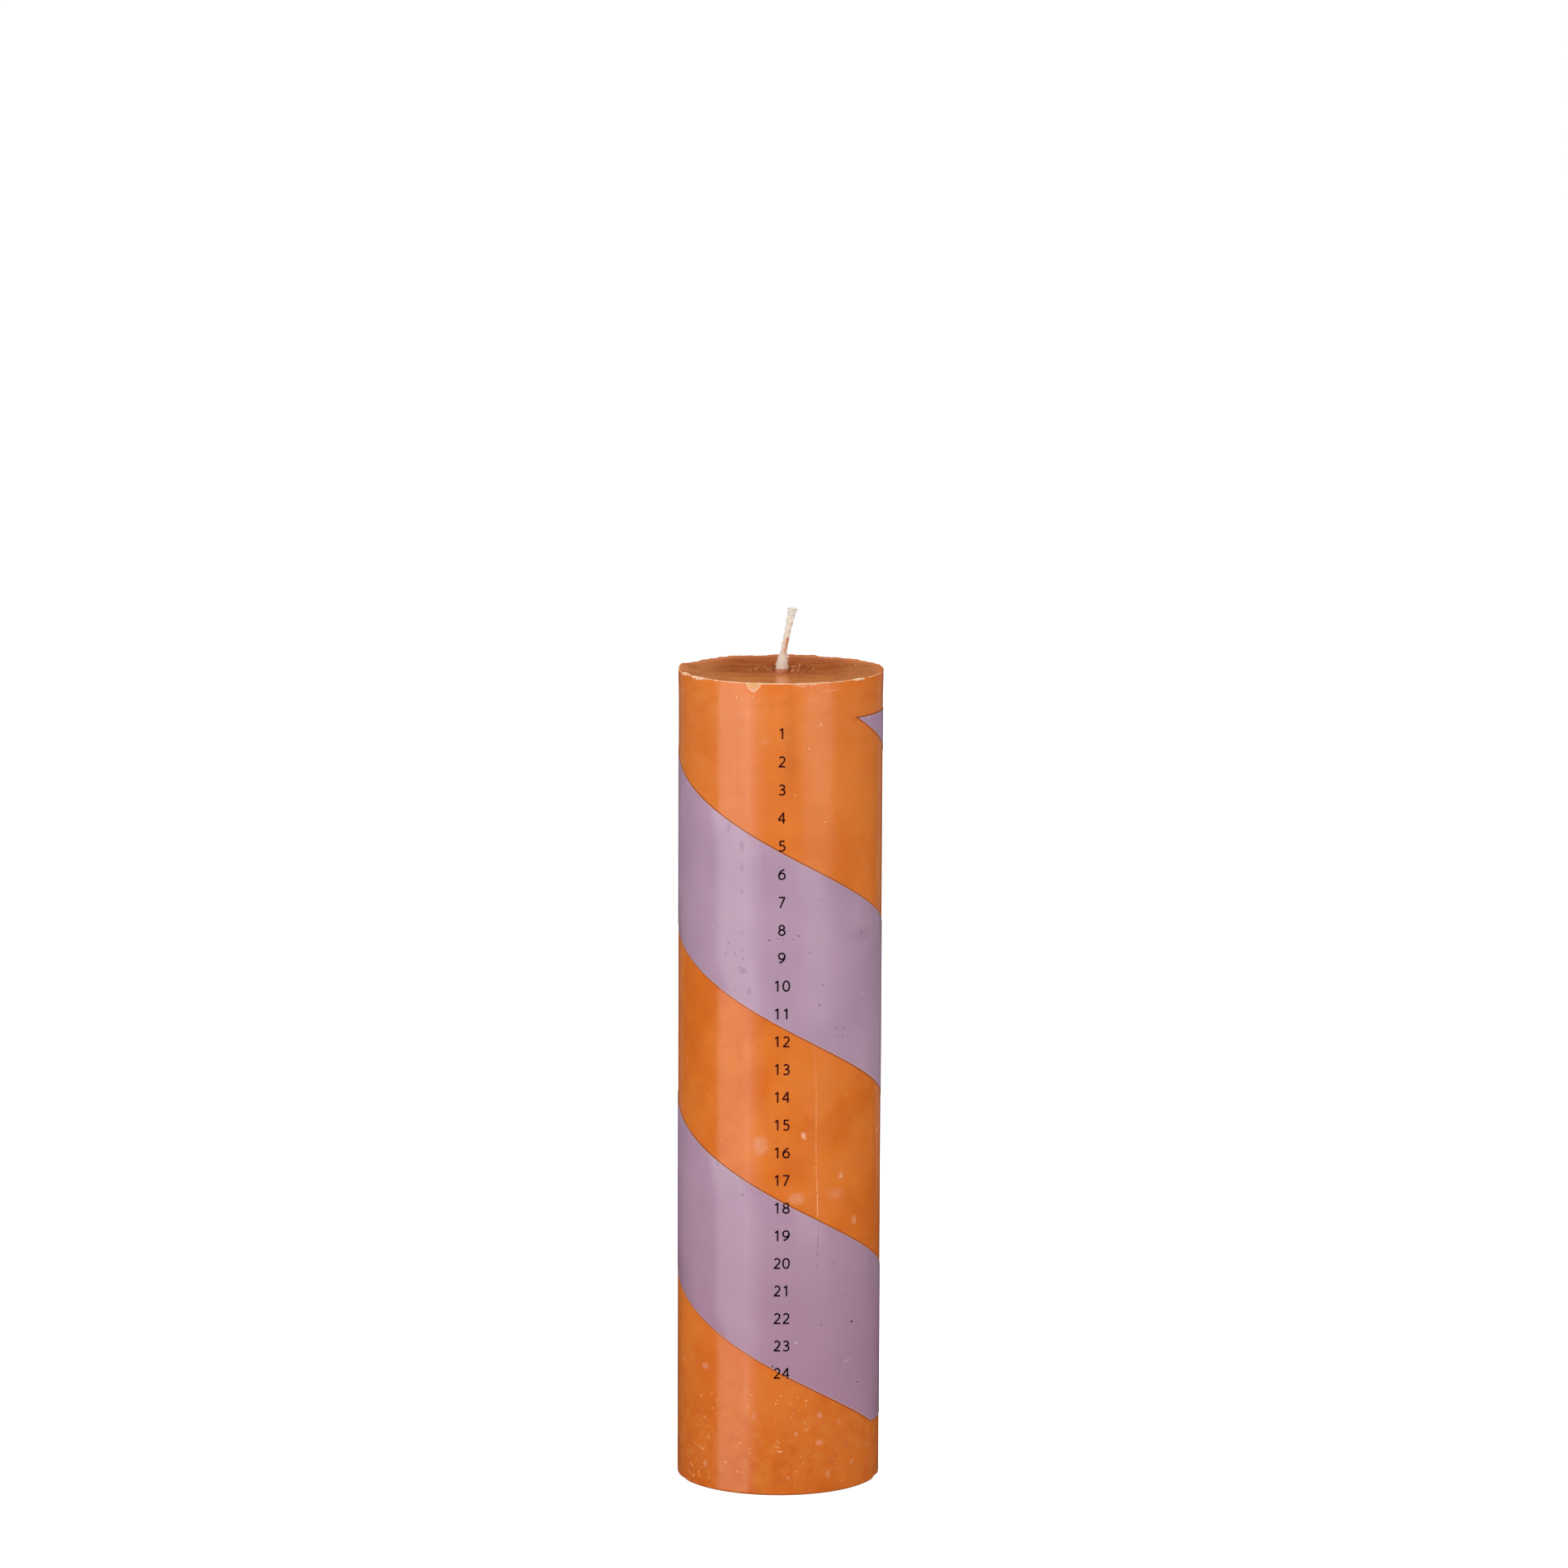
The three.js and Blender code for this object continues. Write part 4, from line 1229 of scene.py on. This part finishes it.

# %% [markdown]
# ## Lilac film
# The band is the same wax with white pigment and a little violet, rolled out thin. The pigment makes it
# opaque, so it hides the orange. Along the edges the film is painted paler and pinker, a painted highlight.

# %% Film material
FILM_SMUDGES = (
    (-30, 199, 0.8, 1.4, 1.4, 0.45), (-21.9, 194, 0.7, 1.6, 1.3, 0.52), (-21.8, 180.6, 0.5, 0.9, 1.3, 0.52),
    (-21.5, 168.2, 0.5, 0.8, 1.2, 0.35), (-20.7, 157.1, 0.9, 0.9, 1.2, 0.68),
    (-17.1, 151, 0.75, 0.8, 1.1, 0.55), (-21.6, 187.6, 0.5, 1.3, 1.3, 0.5), (52, 166, 4, 2, 1.6, 0.3),
)
FILM_SPECKS = (
    (-5.9, 166.4, 0.45, 0.13, 0.8, 0.9), (-1.1, 166.9, 0.21, 0.17, 0.8, 0.7),
    (2, 166.8, 0.18, 0.17, 0.8, 0.6), (7.4, 166.8, 0.21, 0.17, 0.8, 0.6), (10.5, 167.7, 0.45, 0.13, 0.8, 0.9),
    (23.6, 178.2, 0.18, 0.19, 0.8, 0.7), (52.5, 166.9, 0.26, 0.23, 0.8, 0.7),
    (-40.7, 167.1, 0.18, 0.19, 0.8, 0.7), (-30, 164.7, 0.21, 0.19, 0.8, 0.8),
    (-31.6, 161.6, 0.21, 0.19, 0.8, 0.8), (-25.7, 162.1, 0.18, 0.19, 0.8, 0.8),
    (-21.4, 163, 0.18, 0.19, 0.8, 0.8), (-20.8, 160.6, 0.24, 0.19, 0.8, 0.7),
    (-22.8, 157.9, 0.18, 0.19, 0.8, 0.7), (17.1, 162.6, 0.18, 0.19, 0.8, 0.7),
    (24.8, 152.8, 0.24, 0.23, 0.8, 0.6), (22.8, 146.9, 0.21, 0.23, 0.8, 0.9),
    (-25.1, 150.7, 0.18, 0.19, 0.8, 0.6), (33.7, 139.7, 0.21, 0.19, 0.8, 0.9),
    (38.7, 139.4, 0.21, 0.19, 0.8, 0.9), (37.8, 136.8, 0.21, 0.19, 0.8, 0.8), (34, 137, 0.21, 0.19, 0.8, 0.7),
    (-36.5, 98.5, 0.24, 0.23, 0.8, 0.9), (-47.1, 91.7, 0.21, 0.19, 0.8, 0.9),
    (-47.5, 85.3, 0.21, 0.19, 0.8, 0.7), (-20.9, 90.3, 0.45, 0.17, 0.8, 0.8, 25),
    (32, 69.2, 0.21, 0.19, 0.8, 0.6), (45.8, 50.7, 0.54, 0.26, 0.8, 0.95, 10),
    (24.7, 51.1, 0.26, 0.23, 0.8, 0.6), (50.6, 31.9, 0.3, 0.29, 0.8, 0.8), (-3.3, 39.1, 0.3, 0.29, 0.8, 0.9),
    (41.6, 39.6, 0.45, 0.17, 0.8, 0.6, -10), (43.3, 38.6, 0.75, 0.17, 0.8, 0.7, 8),
)
# Dents, and the bubble of film near its upper tip. All are painted pale; on the bubble the pale is a painted
# highlight.
FILM_DENTS_AND_BUBBLE_SHEEN = (
    (10.1, 46.1, 0.5, 0.42, 0.5, 0.8), (42.5, 39.2, 1.2, 0.8, 0.9, 0.4), (59.4, 230, 0.5, 0.4, 0.6, 0.9),
    (50.2, 31.4, 0.4, 0.4, 0.9, 0.4),
)
FILM_LINE = ((22.3, 74.5, 0.12, 8.0, 0.6, 0.8, -3.4),)
film, tree, ground = new_material(
    "pigmented_wax_film_lilac_rolled", cloud=(22, 2), gloss=(9, 1), swell=(14, 1),
)
bent_skin = bent(tree, ground, 0.6)
dents_and_bubble_sheen = marks(tree, bent_skin, FILM_DENTS_AND_BUBBLE_SHEEN)
dashed = node(tree, "TexNoise", {"W": ground.height, "Scale": 1 / 2.0, "Detail": 2.0},
              noise_dimensions="1D")["Fac"]
film_colour = painted(
    tree, "#b190a9",
    ("#b896ae", (ground.cloud, 0.35, 0.65)),
    ("#a87e95", (ground.height, 130, 25, 0.7)),
    ("#9c7590", marks(tree, bent_skin, FILM_SMUDGES)),
    ("#331a2a", marks(tree, ground.skin, FILM_SPECKS)),
    # Pale on the dents, and a painted highlight on the bubble.
    ("#dcc3d2", dents_and_bubble_sheen, 0.6),
    ("#7c5268", marks(tree, ground.skin, FILM_LINE), (dashed, 0.45, 0.6)),
    # A pale halo painted along the edges, a painted highlight, and the cut edge painted dark where it meets
    # the wax, a painted shade.
    ("#d8a9a4", (ground.in_band, 0.5, 0.05, 0.55)),
    ("#8a4633", (ground.radius, 30.1, 30.06), (ground.in_band, 0.2, 0.0)),
)
rough = node(tree, "MapRange", (ground.gloss, 0.3, 0.75, 0.215, 0.275))[0]
surface(tree, ((ground.swell, 0.05), (dents_and_bubble_sheen, 0.1)), Base_Color=film_colour, Roughness=rough, IOR=WAX_IOR,
        Specular_IOR_Level=0.8, Subsurface_Weight=0.06, Subsurface_Radius=(1.0, 0.6, 0.8),
        Subsurface_Scale=0.6 * MM)
dress(band, film)
print("film nodes:", len(tree.nodes))

# %% [markdown]
# ## Printing ink
# The ink is a thin, nearly black maroon. On the lilac film it looks black. On the orange wax some of the
# orange shines through it, so it turns to a dark red-brown.

# %% Ink material
ink, tree, ground = new_material("screen_print_ink_maroon", uneven=(0.6, 2))
thick = mask(tree, (ground.uneven, 0.4, 0.7))
over_film = painted(tree, "#0c0509", ("#1d0f19", thick))
ink_colour = painted(tree, "#35060a", ("#4d0f0c", thick), (over_film, (ground.in_band, -0.1, 0.1)))
surface(tree, (), Base_Color=ink_colour, Roughness=mask(tree, (ground.uneven, 0.3, 0.7, 0.4)), IOR=1.5)
dress(numerals, ink)

# %% [markdown]
# ## Cotton and primer
# The wick is undyed cotton, soaked in wax: creamy white where it was cut, stained orange where it was
# dragged through the melt. The primer is white wax with a waxy sheen, yellowed in places. Both are
# matte beside the pillar.

# %% Wick material
cotton, tree, ground = new_material("cotton_wick_waxed_braided", fluff=(0.25, 3), patches=(0.9, 2))
height = ground.height
# How far a point lies to the right of the leaning rope's middle, between 245 and 252 mm up.
lean_line = node(tree, "Math", (height, -0.19, 46.18), operation="MULTIPLY_ADD")[0]
axes = node(tree, "SeparateXYZ", {0: ground.solid})
aside = node(tree, "Math", (axes["X"], lean_line), operation="ADD")[0]
cotton_colour = painted(
    tree, "#efe6d8",
    ("#faf6ec", (ground.fluff, 0.35, 0.65)),
    ("#f3e2d2", (height, 257.5, 248.0, 0.7)),
    ("#e3e6d8", (height, 257.2, 259.2, 0.7)),
    ("#d8946f", (height, 245.8, 246.6), (height, 252.0, 250.8), (aside, -0.3, 0.1),
     (ground.patches, 0.34, 0.5), 0.85),
    ("#6d3f2a", (ground.patches, 0.62, 0.68), (height, 251.5, 250.0), (aside, -0.4, 0.1), 0.7),
)
surface(tree, ((ground.fluff, 0.05),), Base_Color=cotton_colour, Roughness=0.75, IOR=1.45,
        Subsurface_Weight=0.2, Subsurface_Radius=(1.0, 0.9, 0.7), Subsurface_Scale=0.4 * MM)
dress(wick, cotton)

# %% Primer material
primer, tree, ground = new_material("primer_wax_white_dipped", patches=(1.1, 3), fine=(0.3, 3))
# The orange melt has crept up the foot of the sleeve, to an uneven line.
crept = node(tree, "Math", (ground.patches, 1.6, ground.height), operation="MULTIPLY_ADD")[0]
primer_colour = painted(
    tree, "#fbe8df",
    ("#fbf0da", (ground.patches, 0.45, 0.6)),
    ("#f4dccb", (ground.height, 245.2, 246.6)),
    ("#e0b497", (ground.patches, 0.42, 0.3, 0.7)),
    ("#dc9570", (crept, 243.1, 242.75)),
    ("#d08762", (crept, 242.2, 241.2)),
)
surface(tree, ((ground.fine, 0.08),), Base_Color=primer_colour, Roughness=0.42, IOR=WAX_IOR,
        Subsurface_Weight=0.25, Subsurface_Radius=(1.0, 0.8, 0.6), Subsurface_Scale=0.6 * MM)
dress(collar, primer)

# %% [markdown]
# ## Tinned steel foot
# The foot under the candle is a pressing from tinned steel sheet. Tin is a soft, bright metal that dulls
# in clouds and shows fine scratches in all directions. The CAD solid is right as it is, so it stays and
# only gets its material.

# %% Tin material
tin, tree, ground = new_material("tinned_steel_sheet_pressed", cloud=(3, 4), scuff=(0.4, 3))
surface(tree, ((ground.scuff, 0.01),),
        Base_Color=painted(tree, "#b4b8bc", ("#cdd0d2", (ground.cloud, 0.35, 0.65))),
        Metallic=1.0, Roughness=mask(tree, (ground.cloud, 0.2, 0.8, 0.5)))
dress(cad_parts["wick_foot"], tin)

# %% [markdown]
# ## The studio
# The candle stands on a white table, with soft boxes to the left and right of the camera that give the
# two upright streaks on the wax. Weaker boxes beside them let each streak fade on one side. Straight
# behind the camera nothing shines in the gloss, which keeps the front deep in colour, and the fills from
# above and behind only light the wax. The table is white to the camera but doesn't show in the gloss.
# From underneath it is clear, so that the base with its foot can be looked at.

# %% Table and surroundings
TABLE_SIZE = 60
TABLE_DROP = 0.02
# How bright the table is to the candle, and to the camera.
TABLE_GLOWS = 0.28, 0.88
table = add(bpy.ops.mesh.primitive_plane_add, "table", size=TABLE_SIZE, location=(0, 0, -TABLE_DROP * MM))
place_in_mesh(table)
table.visible_glossy = False
paper = bpy.data.materials.new("white_paper_backdrop")
world = bpy.data.worlds.new("studio")
bpy.context.scene.world = world
for maker in (paper, world):
    maker.use_nodes = True
    maker.node_tree.nodes.clear()

tree = paper.node_tree
matt = node(tree, "BsdfDiffuse", {"Color": (0.8, 0.8, 0.8, 1.0)})[0]
glows = [node(tree, "Emission", {"Color": "#ffffff", "Strength": strength})[0] for strength in TABLE_GLOWS]
lit = [node(tree, "AddShader", (matt, glow))[0] for glow in glows]
seen = node(tree, "LightPath")["Is Camera Ray"]
mixed = node(tree, "MixShader", (seen, lit[0], lit[1]))[0]
clear = node(tree, "BsdfTransparent")[0]
from_below = node(tree, "NewGeometry")["Backfacing"]
mixed = node(tree, "MixShader", (from_below, mixed, clear))[0]
node(tree, "OutputMaterial", {"Surface": mixed})
dress(table, paper)

tree = world.node_tree
rays = node(tree, "LightPath")
soft, dark, white = (node(tree, "Background", {"Color": "#ffffff", "Strength": strength})[0]
                     for strength in (0.17, 0.03, 1.1))
unseen = node(tree, "MixShader", (rays["Is Glossy Ray"], soft, dark))[0]
whole = node(tree, "MixShader", (rays["Is Camera Ray"], unseen, white))[0]
node(tree, "OutputWorld", {"Surface": whole})

# %% Soft boxes
def soft_box(name, angle, rise, distance, width, height, radiance, aim_height, shines=True):
    """Sizes are in metres. Radiance is how bright its face looks: a flat lamp's power is pi times its area
    times that."""
    light = bpy.data.lights.new(name, "AREA")
    light.shape = "RECTANGLE"
    light.size, light.size_y = width, height
    light.energy = math.pi * width * height * radiance
    lamp = bpy.data.objects.new(name, light)
    aim = Vector((0, 0, aim_height))
    turn, climb = math.radians(angle), math.radians(rise)
    away = Vector((math.sin(turn) * math.cos(climb), -math.cos(turn) * math.cos(climb), math.sin(climb)))
    lamp.location = aim + away * distance
    lamp.rotation_euler = away.to_track_quat("Z", "Y").to_euler()
    lamp.visible_camera = False
    lamp.visible_glossy = shines
    bpy.context.scene.collection.objects.link(lamp)


# Name, angle, rise, distance, width, height, radiance, the height it aims at and whether the gloss shows it.
BOXES = (
    ("left_box", -54.5, 0, 1.2, 0.83, 1.3, 1.55, -0.05),
    ("left_upper", -54.5, 0, 1.21, 0.83, 0.69, 0.25, 0.275),
    ("left_top", -54.5, 0, 1.22, 0.83, 0.60, 0.2, 0.32),
    ("left_fall_off_a", -34, 0, 1.23, 0.17, 1.1, 0.6, 0.05),
    ("left_fall_off_b", -31, 0, 1.24, 0.30, 1.1, 0.45, 0.05),
    ("left_fall_off_c", -28, 0, 1.26, 0.45, 1.1, 0.4, 0.05),
    ("right_box", 43, 0, 1.2, 0.60, 0.83, 0.72, 0.385),
    ("right_fall_off", 43, 0, 1.25, 0.90, 0.92, 0.46, 0.34),
    ("right_low", 43, 0, 1.25, 0.70, 0.30, 0.12, -0.27),
    ("front_fill", 3, 25, 1.6, 1.4, 1.0, 1.38, 0.10, False),
    ("top_fill", 0, 86, 1.4, 1.0, 1.0, 3.5, 0.20, False),
    ("back_box", 180, 58, 1.4, 1.2, 0.8, 2.4, 0.15, False),
    ("back_left", -150, 0, 1.2, 0.30, 0.42, 0.12, 0.04),
    ("back_right", 150, 0, 1.2, 0.30, 0.42, 0.14, 0.04),
)
for box in BOXES:
    soft_box(*box)
print("soft boxes:", len(BOXES))

# %% Camera
# Found by fitting the pillar's outline: 174 mm on a 36 mm sensor, 2.2 m away, looking down 9.2 degrees.
LOOK_DOWN, ROLL = 9.2025, 0.2322
lens = bpy.data.cameras.new("camera")
lens.sensor_width = 36.0
lens.lens = 174.29
lens.clip_start, lens.clip_end = 0.1, 100.0
camera = bpy.data.objects.new("camera", lens)
camera.location = (0.001023, -2.20508, 0.564976)
camera.rotation_mode = "XYZ"
camera.rotation_euler = (math.radians(90 - LOOK_DOWN), 0, 0)
camera.rotation_euler.rotate_axis("Z", math.radians(ROLL))
bpy.context.scene.collection.objects.link(camera)
bpy.context.scene.camera = camera
bpy.context.scene.view_settings.view_transform = "Standard"
